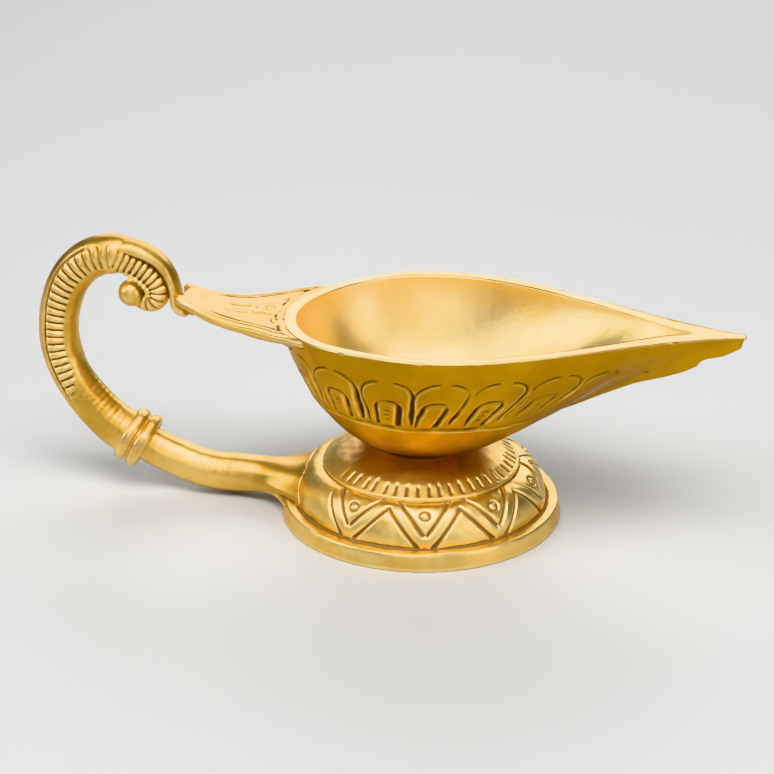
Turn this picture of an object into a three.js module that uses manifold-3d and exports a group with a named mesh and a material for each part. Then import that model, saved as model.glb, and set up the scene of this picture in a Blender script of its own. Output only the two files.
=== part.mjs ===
// A brass oil lamp: a pointed oil bowl on a domed foot, with a scrolled loop handle.
// Millimetres, +Z up. It is drawn with the foot's axis on Z, the table at Z = 0 and the spout along +X,
// and moved at the end so that the origin is the middle of the whole lamp's footprint.
import * as THREE from "three";
import { mergeVertices } from "three/addons/utils/BufferGeometryUtils.js";
import Module from "manifold-3d";

const wasm = await Module();
wasm.setup();

// Fits
const seatGap = 0.3; // between two pieces that seat on each other
const holeGap = 0.3; // added to the radius of a hole for what passes through it

// Foot
const footRadius = 35;
const ringHeight = 4.4;
const ringTaper = 0.7; // how far the ring's top edge leans in
const ringLand = 3.1; // flat land between the ring's edge and the dome
const ringFoot = 4.8; // width of the flat face that stands on the table
const domeWidth = 6.7; // plan width of the rounded dome
const domeRise = 8.8;
const tierLip = 1; // upright edge where the upper tier starts
const bandWidth = 3.4; // sloping band round the upper tier
const bandRise = 2;
const crownRise = 3.4; // from the band up to the bowl's seat
const crownRadius = 13.5;
const footWall = 3;
const seatPlate = 3.6; // metal left under the bowl's socket

// Bowl
const bowlHalfWidth = 31.9;
const bowlRear = 34; // from the foot's axis back to the rim's rear end
const bowlWidest = 3; // where along X the bowl is widest
const spoutReach = 77.5;
const noseRadius = 1.3;
const noseLength = 13.5; // solid end of the spout
const shoulderShare = 0.36; // how far along the spout its sides stay as wide as the bowl
const waistShare = 0.63; // how far along it they have drawn in to waistWidthShare of the bowl's half width
const waistWidthShare = 0.25;
const bowlHeight = 32.4;
const bowlBaseRadius = 11.5;
const bowlWall = 3.1;
const cupDepth = 28.4;
const cupFloorRadius = 9.5;
const rimPoints = 64; // facets round the rim
const bowlLevels = 10;
const bellyPower = 1.62; // 2 would make the belly an ellipse, 1 a cone
const keelPower = 1.05;
const spoutSharpness = 4; // how narrowly the spout's curve is kept to the spout
const channelPower = 1.2;
const spigotRadius = 7.5; // turned boss that centres the bowl in the foot
const spigotLength = 3;

// Tang, the flat tongue from the bowl's rear to the handle
const tangLength = 25.6; // past the rim's rear end
const tangRootWidth = 40;
const tangTipWidth = 11.6;
const tangThickness = 2.4;
const tangSag = 4.6; // how far the middle control point hangs below the rim
const tangTipRise = 1.8; // upper face of the tip, above the rim's top
const tangBite = 12; // the tang's curve starts this far inside the bowl's rear, where the cup cuts it off
const tangLevelShare = 0.1; // of its length past the rim that runs on level
const tangSagShare = 0.52; // of its length where the sag is greatest
const tangFullness = 3.4; // how slowly its width falls from root to tip; 0 is fastest
const tangSquareness = 5; // power of its section; 2 is an ellipse
const tangRounding = 0.08; // share of the curve over which the tip is rounded off
const tipRoundness = 0.75; // 1 would round it to a point

// Handle
const barRadius = 4.9; // lower arm
const armLift = 0.5; // air under the lower arm
const armFlare = 4.2; // extra half width where the arm meets the foot
const flareShare = 0.42; // of the arm's length over which that width dies out
const armLevelShare = 0.5; // of the arm's length that pulls it level with the table
const armClimbShare = 0.25; // of the arm's length that pulls it along the collar's axis
const loopDepth = 38.8; // from the tang's tip back to the outside of the loop
const jointInset = 24.5; // from the outside of the loop to the collar's middle
const jointRise = 7.6; // collar's middle above the lower arm's axis
const jointTilt = THREE.MathUtils.degToRad(27); // the bar's climb through the collar
const loopRootRadius = 5.8;
const loopRadius = 5;
const loopLead = 7; // straight lead of the loop's curve out of the collar
const loopMiddleShare = 0.53; // height of the loop's rearmost point, between the collar and the crown
const loopLowPull = 0.56; // how strongly the curve is drawn upright below that point
const loopHighPull = 0.55; // and above it
const crownPull = 0.38; // how strongly it is drawn level on the way to the crown
const crownRounding = 0.1; // share of the loop over which its end is narrowed
const crownRoundness = 0.6;
const crownOverTip = 9.5; // the loop's top axis above the tang's tip
const crownBehindTip = 16.9;
const collarRadius = 7.4;
const collarWidth = 6.8;
const tenonRadius = 3.6;
const spineRadius = 2.1;
const spineHalfWidth = 3.2;
const spineLap = 4; // how far before the crown the spine starts
const spineDrop = 0.6; // how far its start lies below the crown's top
const spineRise = 0.9; // upward pull of its curve over the crown
const spineFall = 0.72; // how strongly its end is drawn straight down into the hook
const spineThinFrom = 0.35; // shares of the spine between which it thins to the hook's bar
const spineThinTo = 0.75;
const hookRadius = 2.4; // bend of the hook that holds the tang's tip
const strandRadius = 1.4; // bar of that hook
const hookEnd = 1.66 * Math.PI; // angle at which that bend stops
const curlRadius = 2.8;
const curlWidening = 1.15; // half width over half thickness
const curlOverlap = 0.4; // of the curl into the spine beside it
const curlReach = 0.7; // how strongly the curl is drawn out towards the spine before it turns down
const curlRise = 0.8;
const curlHighShare = 0.85; // heights between the curl's lowest point and its top
const curlMiddleShare = 0.38;
const curlDip = 0.8; // downward pull of its last turn
const ballRadius = 3.4;
const ballInset = 2.05; // the ball's middle from the curl's outermost line, in ball radii
const ballLift = 2.3; // the ball's middle above the curl's lowest line

// Fasteners
const boltRadius = 2;
const boltEngagement = 2.2; // past the spigot, into the bowl's floor
const boltHeadRadius = 4;
const boltHeadHeight = 2.8;
const washerRadius = 5.6;
const washerThickness = 1;
const screwRadius = 1.5;
const screwHeadRadius = 2.9;
const screwHeadHeight = 2;
const screwGrip = 10; // length of the arm screw inside the arm
const studRadius = 1.4;
const studHalfLength = 9;
const pinRadius = 0.7;
const pinBite = 1.5; // into the tang from below
const pinInset = 1.6; // from the tang's tip
const pinTail = 0.8; // how far the pin reaches through the hook's bar, in strand radii
const pocketDepth = 0.5; // flat cut into the hollow's wall for the arm screw's head
const overlap = 1; // of joined or cutting bodies, so that no faces coincide

// Facets of round shapes
const turnedFacets = 48;
const hollowFacets = 40;
const socketFacets = 32;
const collarFacets = 28;
const rodFacets = 24;
const boreFacets = 16;
const pinFacets = 12;
const ballFacets = 20;
const arcFacets = 7; // of each quarter curve in the foot's profile
const hollowArcFacets = 5;
const hexagon = 6;

// Places worked out from the sizes above
const domeRadius = footRadius - ringTaper - ringLand;
const tierRadius = domeRadius - domeWidth;
const domeTop = ringHeight + domeRise;
const bandTop = domeTop + tierLip + bandRise;
const seatHeight = bandTop + crownRise;
const bowlBase = seatHeight + seatGap;
const rimHeight = bowlBase + bowlHeight;
const socketDepth = spigotLength + seatGap;
const ceilingHeight = seatHeight - socketDepth - seatPlate;
const tangTip = new THREE.Vector2(-bowlRear - tangLength, rimHeight + tangTipRise - tangThickness / 2);
const loopBack = tangTip.x - loopDepth;
const armHeight = barRadius + armLift;
const joint = new THREE.Vector2(loopBack + jointInset, armHeight + jointRise);
const jointWay = new THREE.Vector2(-Math.cos(jointTilt), Math.sin(jointTilt));
const crown = new THREE.Vector2(tangTip.x - crownBehindTip, tangTip.y + crownOverTip);

function solidOf(geometry) {
  const plain = geometry.clone();
  plain.deleteAttribute("normal");
  plain.deleteAttribute("uv");
  const merged = mergeVertices(plain, 1e-4);
  return new wasm.Manifold(
    new wasm.Mesh({
      numProp: 3,
      vertProperties: merged.attributes.position.array,
      triVerts: new Uint32Array(merged.index.array),
    }),
  );
}

function geometryOf(solid) {
  const mesh = solid.getMesh();
  const geometry = new THREE.BufferGeometry();
  geometry.setAttribute("position", new THREE.BufferAttribute(mesh.vertProperties, 3));
  geometry.setIndex(new THREE.BufferAttribute(mesh.triVerts, 1));
  geometry.computeVertexNormals();
  return geometry;
}

// A closed skin over rings of equal length, each end closed by a fan round its own middle.
// Seen from the first ring's side, the rings run clockwise.
function loft(rings) {
  const count = rings[0].length;
  const positions = rings.flat().flatMap((p) => [p.x, p.y, p.z]);
  const faces = [];
  for (let k = 0; k + 1 < rings.length; k += 1) {
    for (let i = 0; i < count; i += 1) {
      const a = k * count + i;
      const b = k * count + ((i + 1) % count);
      faces.push(a, b, b + count, a, b + count, a + count);
    }
  }
  for (const [ring, start, atEnd] of [
    [rings[0], 0, false],
    [rings.at(-1), (rings.length - 1) * count, true],
  ]) {
    const middle = new THREE.Vector3();
    ring.forEach((p) => middle.addScaledVector(p, 1 / count));
    const centre = positions.length / 3;
    positions.push(middle.x, middle.y, middle.z);
    for (let i = 0; i < count; i += 1) {
      const next = (i + 1) % count;
      faces.push(centre, start + (atEnd ? i : next), start + (atEnd ? next : i));
    }
  }
  const geometry = new THREE.BufferGeometry();
  geometry.setAttribute("position", new THREE.Float32BufferAttribute(positions, 3));
  geometry.setIndex(faces);
  return solidOf(geometry);
}

// A bar along a curve in the XZ plane. sizeAt(t) gives half its width along Y, half its thickness
// across the curve, and the power of its section: 2 is an ellipse, more is squarer.
function barAlong(curve, steps, sides, sizeAt) {
  const rings = [];
  for (let k = 0; k <= steps; k += 1) {
    const t = k / steps;
    const at = curve.getPointAt(t);
    const way = curve.getTangentAt(t);
    const { wide, thick, power = 2 } = sizeAt(t);
    const ring = [];
    for (let i = 0; i < sides; i += 1) {
      const angle = (2 * Math.PI * i) / sides;
      const across = Math.sign(Math.cos(angle)) * Math.abs(Math.cos(angle)) ** (2 / power) * wide;
      const up = Math.sign(Math.sin(angle)) * Math.abs(Math.sin(angle)) ** (2 / power) * thick;
      ring.push(new THREE.Vector3(at.x - way.y * up, across, at.y + way.x * up));
    }
    rings.push(ring);
  }
  return loft(rings);
}

// A turned solid about Z from [radius, height] points that start and end on the axis, lowest first.
function turned(points, segments = turnedFacets) {
  const profile = points.map((p) => new THREE.Vector2(p.x, p.y));
  const geometry = new THREE.LatheGeometry(profile, segments);
  geometry.rotateX(Math.PI / 2);
  return solidOf(geometry);
}

// A round bar between two points of the XZ plane.
function rod(from, to, radius, segments = rodFacets) {
  const way = to.clone().sub(from);
  const geometry = new THREE.CylinderGeometry(radius, radius, way.length(), segments);
  geometry.rotateZ(Math.atan2(way.y, way.x) - Math.PI / 2);
  geometry.rotateX(Math.PI / 2);
  const middle = from.clone().add(to).multiplyScalar(0.5);
  geometry.translate(middle.x, 0, middle.y);
  return solidOf(geometry);
}

function ball(centre, radius) {
  const geometry = new THREE.SphereGeometry(radius, ballFacets, ballFacets / 2);
  geometry.translate(centre.x, 0, centre.y);
  return solidOf(geometry);
}

function alongJoint(distance) {
  return joint.clone().addScaledVector(jointWay, distance);
}

function xz(x, z) {
  return new THREE.Vector2(x, z);
}

// Foot: ring, land, rounded dome, upper tier with its sloping band, and the crown that the bowl seats on.
function footBlank(grow = 0) {
  const outline = new THREE.Path();
  outline.moveTo(0, -grow);
  outline.lineTo(footRadius + grow, -grow);
  outline.lineTo(footRadius - ringTaper + grow, ringHeight + grow);
  outline.lineTo(domeRadius + grow, ringHeight + grow);
  outline.absellipse(tierRadius, ringHeight + grow, domeWidth + grow, domeRise, 0, Math.PI / 2, false);
  outline.lineTo(tierRadius, domeTop + tierLip + grow);
  outline.lineTo(tierRadius - bandWidth, bandTop + grow);
  outline.lineTo(crownRadius, seatHeight + grow);
  outline.lineTo(0, seatHeight + grow);
  return turned(outline.getPoints(arcFacets));
}

function hollowRadiusAt(height) {
  const share = Math.max(0, height - ringHeight) / (domeRise - footWall);
  return tierRadius + (domeWidth - footWall) * Math.sqrt(Math.max(0, 1 - share * share));
}

function footHollow() {
  const outline = new THREE.Path();
  const mouth = footRadius - ringFoot;
  const width = domeWidth - footWall;
  const ceilingRadius = tierRadius - bandWidth;
  outline.moveTo(0, -overlap);
  outline.lineTo(mouth, -overlap);
  outline.lineTo(mouth, 0);
  outline.lineTo(domeRadius - footWall, ringHeight);
  outline.absellipse(tierRadius, ringHeight, width, domeRise - footWall, 0, Math.PI / 2, false);
  outline.lineTo(ceilingRadius, ceilingHeight);
  outline.lineTo(0, ceilingHeight);
  return turned(outline.getPoints(hollowArcFacets), hollowFacets);
}

// The arm screw's head bears on a flat cut into the hollow's wall.
const screwFace = -hollowRadiusAt(armHeight) + pocketDepth;

function makeFoot() {
  const above = xz(0, seatHeight + overlap);
  const socket = rod(xz(0, seatHeight - socketDepth), above, spigotRadius + seatGap, socketFacets);
  const boltHole = rod(xz(0, 0), above, boltRadius + holeGap);
  const outside = xz(-footRadius - overlap, armHeight);
  const screwHole = rod(xz(screwFace, armHeight), outside, screwRadius + holeGap);
  const screwPocket = rod(
    xz(screwFace, armHeight),
    xz(screwFace + 2 * screwHeadHeight, armHeight),
    screwHeadRadius + holeGap,
  );
  return footBlank()
    .subtract(footHollow())
    .subtract(socket)
    .subtract(boltHole)
    .subtract(screwHole)
    .subtract(screwPocket);
}

// The rim from above: half an ellipse at the rear, a long curve to each side of the spout, a round nose.
function rimOutline(halfWidth, rear, reach, nose) {
  const length = reach - bowlWidest;
  const shoulder = bowlWidest + shoulderShare * length;
  const waist = bowlWidest + waistShare * length;
  const waistWidth = waistWidthShare * halfWidth;
  const outline = new THREE.Shape();
  outline.moveTo(reach, 0);
  outline.absarc(reach - nose, 0, nose, 0, Math.PI / 2, false);
  outline.bezierCurveTo(waist, waistWidth, shoulder, halfWidth, bowlWidest, halfWidth);
  outline.absellipse(bowlWidest, 0, rear + bowlWidest, halfWidth, Math.PI / 2, 1.5 * Math.PI, false);
  outline.bezierCurveTo(shoulder, -halfWidth, waist, -waistWidth, reach - nose, -nose);
  outline.absarc(reach - nose, 0, nose, -Math.PI / 2, 0, false);
  return outline.getSpacedPoints(rimPoints).slice(0, -1);
}

// A bowl-shaped solid from a round base up to a rim outline.
// Its belly curves by power, and its spout by spoutPower.
function bowlBlank(outline, reach, rear, baseRadius, low, high, power, spoutPower, lip = 0) {
  const halfWidth = Math.max(...outline.map((p) => p.y));
  const rings = [];
  for (let k = 0; k <= bowlLevels; k += 1) {
    const angle = (k / bowlLevels) * (Math.PI / 2);
    rings.push(
      outline.map((p) => {
        const way = Math.atan2(p.y / halfWidth, p.x / (p.x > 0 ? reach : rear));
        const toSpout = Math.max(0, Math.cos(way)) ** spoutSharpness;
        const bend = 2 / (power + (spoutPower - power) * toSpout);
        const out = Math.sin(angle) ** bend;
        const up = 1 - Math.cos(angle) ** bend;
        const x = THREE.MathUtils.lerp(baseRadius * Math.cos(way), p.x, out);
        const y = THREE.MathUtils.lerp(baseRadius * Math.sin(way), p.y, out);
        return new THREE.Vector3(x, y, THREE.MathUtils.lerp(low, high, up));
      }),
    );
  }
  if (lip > 0) {
    rings.push(outline.map((p) => new THREE.Vector3(p.x, p.y, high + lip)));
  }
  return loft(rings);
}

const tangCurve = new THREE.CubicBezierCurve(
  xz(-bowlRear + tangBite, rimHeight - tangThickness / 2),
  xz(-bowlRear - tangLevelShare * tangLength, rimHeight - tangThickness / 2),
  xz(-bowlRear - tangSagShare * tangLength, rimHeight - tangThickness / 2 - tangSag),
  tangTip,
);

function tangUnderside(x) {
  const steps = 200;
  for (let k = 0; k <= steps; k += 1) {
    const p = tangCurve.getPoint(k / steps);
    if (p.x <= x) return p.y - tangThickness / 2;
  }
  return tangTip.y - tangThickness / 2;
}

// Shrinks a bar's section over its last share, by an ellipse.
function roundedEnd(t, share, roundness) {
  const nearEnd = Math.max(0, 1 - (1 - t) / share);
  return Math.sqrt(1 - roundness * nearEnd * nearEnd);
}

function makeTang() {
  return barAlong(tangCurve, 20, 16, (t) => {
    const root = (1 - t) ** 3 + tangFullness * (1 - t) ** 2 * t;
    const wide = THREE.MathUtils.lerp(tangTipWidth, tangRootWidth, root) / 2;
    const round = roundedEnd(t, tangRounding, tipRoundness);
    return { wide: wide * round, thick: (tangThickness / 2) * round, power: tangSquareness };
  });
}

// The hook clears the tang's tip on its left, and its rolled end comes up under the tang.
const pinX = tangTip.x + pinInset;
const hookX = tangTip.x - 2.5 * seatGap - strandRadius + hookRadius;
const hookEndX = hookX + hookRadius * Math.cos(hookEnd) + strandRadius / 2;
const hookEndHeight = tangUnderside(hookEndX) - seatGap - strandRadius;
const hookCentre = xz(hookX, hookEndHeight - hookRadius * Math.sin(hookEnd));

function makeBowl() {
  const rim = rimOutline(bowlHalfWidth, bowlRear, spoutReach, noseRadius);
  const cupReach = spoutReach - noseLength;
  const cupRim = rimOutline(bowlHalfWidth - bowlWall, bowlRear - bowlWall, cupReach, noseRadius / 2);
  const body = bowlBlank(
    rim, spoutReach, bowlRear, bowlBaseRadius, bowlBase, rimHeight, bellyPower, keelPower,
  );
  const cup = bowlBlank(
    cupRim, cupReach, bowlRear - bowlWall, cupFloorRadius,
    rimHeight - cupDepth, rimHeight, bellyPower, channelPower, 2 * tangThickness,
  );
  const spigot = rod(xz(0, bowlBase - spigotLength), xz(0, bowlBase + overlap), spigotRadius, socketFacets);
  const bore = rod(xz(0, 0), xz(0, bowlBase + boltEngagement + seatGap), boltRadius + holeGap);
  const pinTop = xz(pinX, tangUnderside(pinX) + pinBite + seatGap);
  const pinHole = rod(xz(pinX, 0), pinTop, pinRadius + holeGap, pinFacets);
  return body.add(makeTang()).add(spigot).subtract(cup).subtract(bore).subtract(pinHole);
}

// Lower arm: leaves the foot level with the table, widened at the dome, and climbs to the collar.
function makeArm() {
  const shoulder = alongJoint(-collarWidth / 2 - seatGap);
  const start = -domeRadius + footWall;
  const run = shoulder.x - start;
  const curve = new THREE.CubicBezierCurve(
    xz(start, armHeight),
    xz(start + armLevelShare * run, armHeight),
    shoulder.clone().addScaledVector(jointWay, armClimbShare * run),
    shoulder,
  );
  const bar = barAlong(curve, 18, 18, (t) => {
    const flare = Math.max(0, 1 - t / flareShare) ** 2;
    return { wide: barRadius + armFlare * flare, thick: barRadius };
  });
  const tenon = rod(alongJoint(-collarWidth / 2 - overlap), alongJoint(-seatGap / 2), tenonRadius);
  const studBore = rod(alongJoint(-studHalfLength - seatGap), joint, studRadius + holeGap, boreFacets);
  const screwBore = rod(
    xz(start, armHeight),
    xz(-footRadius - screwGrip - seatGap, armHeight),
    screwRadius + holeGap,
    boreFacets,
  );
  return bar.add(tenon).subtract(footBlank(seatGap)).subtract(studBore).subtract(screwBore);
}

// Upper scroll: the loop, the spine that runs on into a hook for the tang, and the curl with its ball.
function makeScroll() {
  const shoulder = alongJoint(collarWidth / 2 + seatGap);
  const back = loopBack + loopRadius;
  const middle = THREE.MathUtils.lerp(shoulder.y, crown.y, loopMiddleShare);
  const loop = new THREE.CurvePath();
  loop.add(
    new THREE.CubicBezierCurve(
      shoulder,
      alongJoint(collarWidth / 2 + seatGap + loopLead),
      xz(back, THREE.MathUtils.lerp(shoulder.y, middle, loopLowPull)),
      xz(back, middle),
    ),
  );
  loop.add(
    new THREE.CubicBezierCurve(
      xz(back, middle),
      xz(back, THREE.MathUtils.lerp(middle, crown.y, loopHighPull)),
      xz(THREE.MathUtils.lerp(back, crown.x, crownPull), crown.y),
      crown,
    ),
  );
  const bar = barAlong(loop, 24, 16, (t) => {
    const radius = THREE.MathUtils.lerp(loopRootRadius, loopRadius, Math.min(1, 3 * t));
    return { wide: radius * roundedEnd(t, crownRounding, crownRoundness), thick: radius };
  });

  const spineTop = crown.y + loopRadius - spineRadius;
  const hookSide = hookCentre.x - hookRadius;
  const spine = new THREE.CurvePath();
  spine.add(
    new THREE.CubicBezierCurve(
      xz(crown.x - spineLap, spineTop - spineDrop),
      xz((crown.x + hookSide) / 2, spineTop + spineRise),
      xz(hookSide, THREE.MathUtils.lerp(hookCentre.y, spineTop, spineFall)),
      xz(hookSide, hookCentre.y),
    ),
  );
  spine.add(new THREE.EllipseCurve(hookCentre.x, hookCentre.y, hookRadius, hookRadius, Math.PI, hookEnd));
  const strand = barAlong(spine, 24, 10, (t) => {
    const thin = THREE.MathUtils.smoothstep(t, spineThinFrom, spineThinTo);
    return {
      wide: THREE.MathUtils.lerp(spineHalfWidth, 2 * strandRadius, thin),
      thick: THREE.MathUtils.lerp(spineRadius, strandRadius, thin),
    };
  });

  const inner = crown.y + loopRadius - 2 * spineRadius - curlRadius;
  const side = hookSide - spineRadius - curlRadius + curlOverlap;
  const curlLow = hookCentre.y - hookRadius + curlRadius / 2;
  const sideMiddle = xz(side, THREE.MathUtils.lerp(curlLow, inner, curlMiddleShare));
  const ballCentre = xz(side - ballInset * ballRadius, curlLow + ballLift);
  const curl = new THREE.CurvePath();
  curl.add(
    new THREE.CubicBezierCurve(
      xz(crown.x, inner),
      xz(THREE.MathUtils.lerp(crown.x, side, curlReach), inner + curlRise),
      xz(side, THREE.MathUtils.lerp(curlLow, inner, curlHighShare)),
      sideMiddle,
    ),
  );
  curl.add(
    new THREE.CubicBezierCurve(
      sideMiddle,
      xz(side, curlLow - curlDip / 2),
      xz((ballCentre.x + side) / 2, curlLow - curlDip),
      ballCentre,
    ),
  );
  const whorl = barAlong(curl, 18, 10, () => ({ wide: curlWidening * curlRadius, thick: curlRadius }));

  const tenon = rod(alongJoint(collarWidth / 2 + overlap), alongJoint(seatGap / 2), tenonRadius);
  const studBore = rod(joint, alongJoint(studHalfLength + seatGap), studRadius + holeGap, boreFacets);
  const pinHole = rod(xz(pinX, 0), xz(pinX, hookCentre.y), pinRadius + holeGap, pinFacets);
  return bar
    .add(strand)
    .add(whorl)
    .add(ball(ballCentre, ballRadius))
    .add(tenon)
    .subtract(studBore)
    .subtract(pinHole);
}

// Collar: two rolled beads side by side on a sleeve over the joint between arm and scroll.
function makeCollar() {
  const bead = collarWidth / 4;
  const outline = new THREE.Path();
  outline.moveTo(0, 0);
  outline.lineTo(collarRadius - bead, 0);
  for (const middle of [bead, 3 * bead]) {
    outline.absarc(collarRadius - bead, middle, bead, -Math.PI / 2, Math.PI / 2, false);
  }
  outline.lineTo(0, collarWidth);
  const geometry = new THREE.LatheGeometry(outline.getPoints(hollowArcFacets), collarFacets);
  geometry.translate(0, -collarWidth / 2, 0);
  geometry.rotateZ(Math.PI / 2 - jointTilt);
  geometry.rotateX(Math.PI / 2);
  geometry.translate(joint.x, 0, joint.y);
  const bore = rod(alongJoint(-collarWidth), alongJoint(collarWidth), tenonRadius + holeGap);
  return solidOf(geometry).subtract(bore);
}

function makeStud() {
  return rod(alongJoint(-studHalfLength), alongJoint(studHalfLength), studRadius, boreFacets);
}

const washerTop = ceilingHeight - seatGap;
const boltHeadTop = washerTop - washerThickness - seatGap;

function makeBolt() {
  const head = rod(xz(0, boltHeadTop - boltHeadHeight), xz(0, boltHeadTop), boltHeadRadius, hexagon);
  const shank = rod(xz(0, boltHeadTop - overlap), xz(0, bowlBase + boltEngagement), boltRadius);
  return head.add(shank);
}

function makeWasher() {
  const disc = rod(xz(0, washerTop - washerThickness), xz(0, washerTop), washerRadius, socketFacets);
  return disc.subtract(rod(xz(0, 0), xz(0, washerTop + overlap), boltRadius + holeGap));
}

function makeArmScrew() {
  const headEnd = screwFace + seatGap;
  const head = rod(xz(headEnd, armHeight), xz(headEnd + screwHeadHeight, armHeight), screwHeadRadius);
  const tip = xz(-footRadius - screwGrip, armHeight);
  const shank = rod(xz(headEnd + overlap, armHeight), tip, screwRadius, boreFacets);
  return head.add(shank);
}

function makePin() {
  const low = hookCentre.y - hookRadius - pinTail * strandRadius;
  return rod(xz(pinX, low), xz(pinX, tangUnderside(pinX) + pinBite), pinRadius, pinFacets);
}

const castBrass = { color: 0xc9962f, roughness: 0.32, metalness: 1 };
const paleBrass = { color: 0xd8aa4c, roughness: 0.28, metalness: 1 };
const steel = { color: 0x8d8f92, roughness: 0.4, metalness: 1 };

const lamp = new THREE.Group();
for (const [name, solid, finish] of [
  ["oil_bowl", makeBowl(), paleBrass],
  ["pedestal_foot", makeFoot(), castBrass],
  ["handle_arm", makeArm(), castBrass],
  ["handle_scroll", makeScroll(), castBrass],
  ["handle_collar", makeCollar(), castBrass],
  ["collar_stud", makeStud(), steel],
  ["bowl_bolt", makeBolt(), steel],
  ["bolt_washer", makeWasher(), steel],
  ["arm_screw", makeArmScrew(), steel],
  ["tang_pin", makePin(), paleBrass],
]) {
  const mesh = new THREE.Mesh(geometryOf(solid), new THREE.MeshStandardMaterial(finish));
  mesh.name = name;
  lamp.add(mesh);
}

const reach = new THREE.Box3().setFromObject(lamp);
lamp.position.x = -(reach.min.x + reach.max.x) / 2;

export default lamp;
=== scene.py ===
# A hand-held brass oil lamp: bowl, domed foot and scrolled handle, cast and chased.
# Sizes in the dictionaries are millimetres, measured from the foot's axis: X to the spout, Z up from the table.
import math
import bpy
import bmesh
import numpy as np
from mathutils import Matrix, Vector
from mathutils.bvhtree import BVHTree


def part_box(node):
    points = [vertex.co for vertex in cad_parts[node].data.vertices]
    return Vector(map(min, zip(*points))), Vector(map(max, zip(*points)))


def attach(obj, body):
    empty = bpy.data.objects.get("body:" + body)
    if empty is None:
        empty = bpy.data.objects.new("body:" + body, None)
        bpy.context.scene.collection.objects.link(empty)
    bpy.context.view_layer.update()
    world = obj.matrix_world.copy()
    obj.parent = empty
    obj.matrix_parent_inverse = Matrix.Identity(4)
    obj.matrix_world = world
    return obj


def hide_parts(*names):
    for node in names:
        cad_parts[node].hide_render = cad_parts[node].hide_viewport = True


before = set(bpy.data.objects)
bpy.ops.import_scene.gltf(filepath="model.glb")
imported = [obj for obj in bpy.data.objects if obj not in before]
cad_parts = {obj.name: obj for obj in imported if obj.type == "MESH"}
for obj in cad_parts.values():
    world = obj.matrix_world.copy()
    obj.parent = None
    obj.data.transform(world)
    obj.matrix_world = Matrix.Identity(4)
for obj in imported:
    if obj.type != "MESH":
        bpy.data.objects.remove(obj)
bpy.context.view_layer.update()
print("frame loaded:", ", ".join(sorted(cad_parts)))

mm = 0.001
scene = bpy.context.scene
footLow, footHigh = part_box("pedestal_foot")
bowlLow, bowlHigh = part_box("oil_bowl")
scrollLow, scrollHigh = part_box("handle_scroll")
axisX = (footLow.x + footHigh.x) / 2
axisY = (footLow.y + footHigh.y) / 2


def fromAxis(x):  # a row frame X as millimetres from the foot's axis
    return (x - axisX) / mm


# Camera
cameraView = {
    "distance": 500,  # to the middle of the foot's underside
    "around": 10.42,  # degrees towards the spout
    "above": 26.075,
    "heading": 11.514,  # where it points, degrees to the handle's side
    "pitch": 22.59,
    "lens": 92.03,
    "sensor": 36,
}


def makeCamera():
    around, above = math.radians(cameraView["around"]), math.radians(cameraView["above"])
    away = cameraView["distance"] * mm
    camera = bpy.data.objects.new("camera", bpy.data.cameras.new("camera"))
    camera.data.lens = cameraView["lens"]
    camera.data.sensor_width = cameraView["sensor"]
    camera.data.clip_start, camera.data.clip_end = 0.01, 20
    camera.location = (
        axisX + away * math.sin(around) * math.cos(above),
        axisY - away * math.cos(around) * math.cos(above),
        away * math.sin(above),
    )
    camera.rotation_euler = (math.radians(90 - cameraView["pitch"]), 0, math.radians(cameraView["heading"]))
    scene.collection.objects.link(camera)
    scene.camera = camera


makeCamera()
scene.view_settings.view_transform = "Khronos PBR Neutral"
print("camera set")


# Mesh helpers. Points are millimetres about the foot's axis until placed() moves them.
def placed(points):
    return np.asarray(points) * mm + np.array([axisX, axisY, 0])


def smoothStep(value, low, high):
    share = np.clip((np.asarray(value, float) - low) / (high - low), 0, 1)
    return share * share * (3 - 2 * share)


def mix(a, b, share):
    return a + (b - a) * share


def groove(distance, halfWidth):  # a cut with firm edges: 1 on its line, 0 soon after its half width
    return np.exp(-0.9 * np.abs(distance / halfWidth) ** 3)


def softened(grid, rounds):  # a grid of values averaged over near neighbours, columns closing on themselves
    for _ in range(rounds):
        padded = np.concatenate([grid[:1], grid, grid[-1:]])
        grid = (2 * grid + padded[:-2] + padded[2:] + np.roll(grid, 1, 1) + np.roll(grid, -1, 1)) / 6
    return grid


def handWobble(points, size, seed, waves=9):  # slow unevenness of handwork, about -1 to 1
    draw = np.random.default_rng(seed)
    total = np.zeros(points.shape[:-1])
    for _ in range(waves):
        way = draw.normal(size=3)
        way *= draw.uniform(0.6, 1.5) / (np.linalg.norm(way) * size)
        total += np.sin(2 * np.pi * (points @ way) + draw.uniform(0, 2 * np.pi))
    return total / math.sqrt(waves)


def bezier(corners, share):
    a, b, c, d = (np.asarray(p, float) for p in corners)
    t = np.asarray(share, float)[..., None]
    return (1 - t) ** 3 * a + 3 * (1 - t) ** 2 * t * b + 3 * (1 - t) * t * t * c + t**3 * d


def evenly(points, count):  # count points at equal steps along an open line, and its length
    along = distances(points)
    at = np.linspace(0, along[-1], count)
    return np.stack([np.interp(at, along, points[:, k]) for k in range(points.shape[1])], 1), along[-1]


def gridNormals(grid):  # rows by columns, columns close on themselves
    across = np.roll(grid, -1, 1) - np.roll(grid, 1, 1)
    normal = np.cross(across, np.gradient(grid, axis=0))
    return normal / np.maximum(np.linalg.norm(normal, axis=2, keepdims=True), 1e-9)


def outwardNormals(grid, row, column, outward):  # turned so that the one at that row and column looks outward
    normal = gridNormals(grid)
    return -normal if normal[row, column] @ np.array(outward) < 0 else normal


def hoop(radius, height, angle):
    return np.stack([radius * np.cos(angle), radius * np.sin(angle), height + 0 * angle], 1)


def distances(line):  # how far along an open line each of its points lies
    steps = np.linalg.norm(np.diff(line, axis=0), axis=1)
    return np.concatenate([[0], np.cumsum(steps)])


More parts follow.
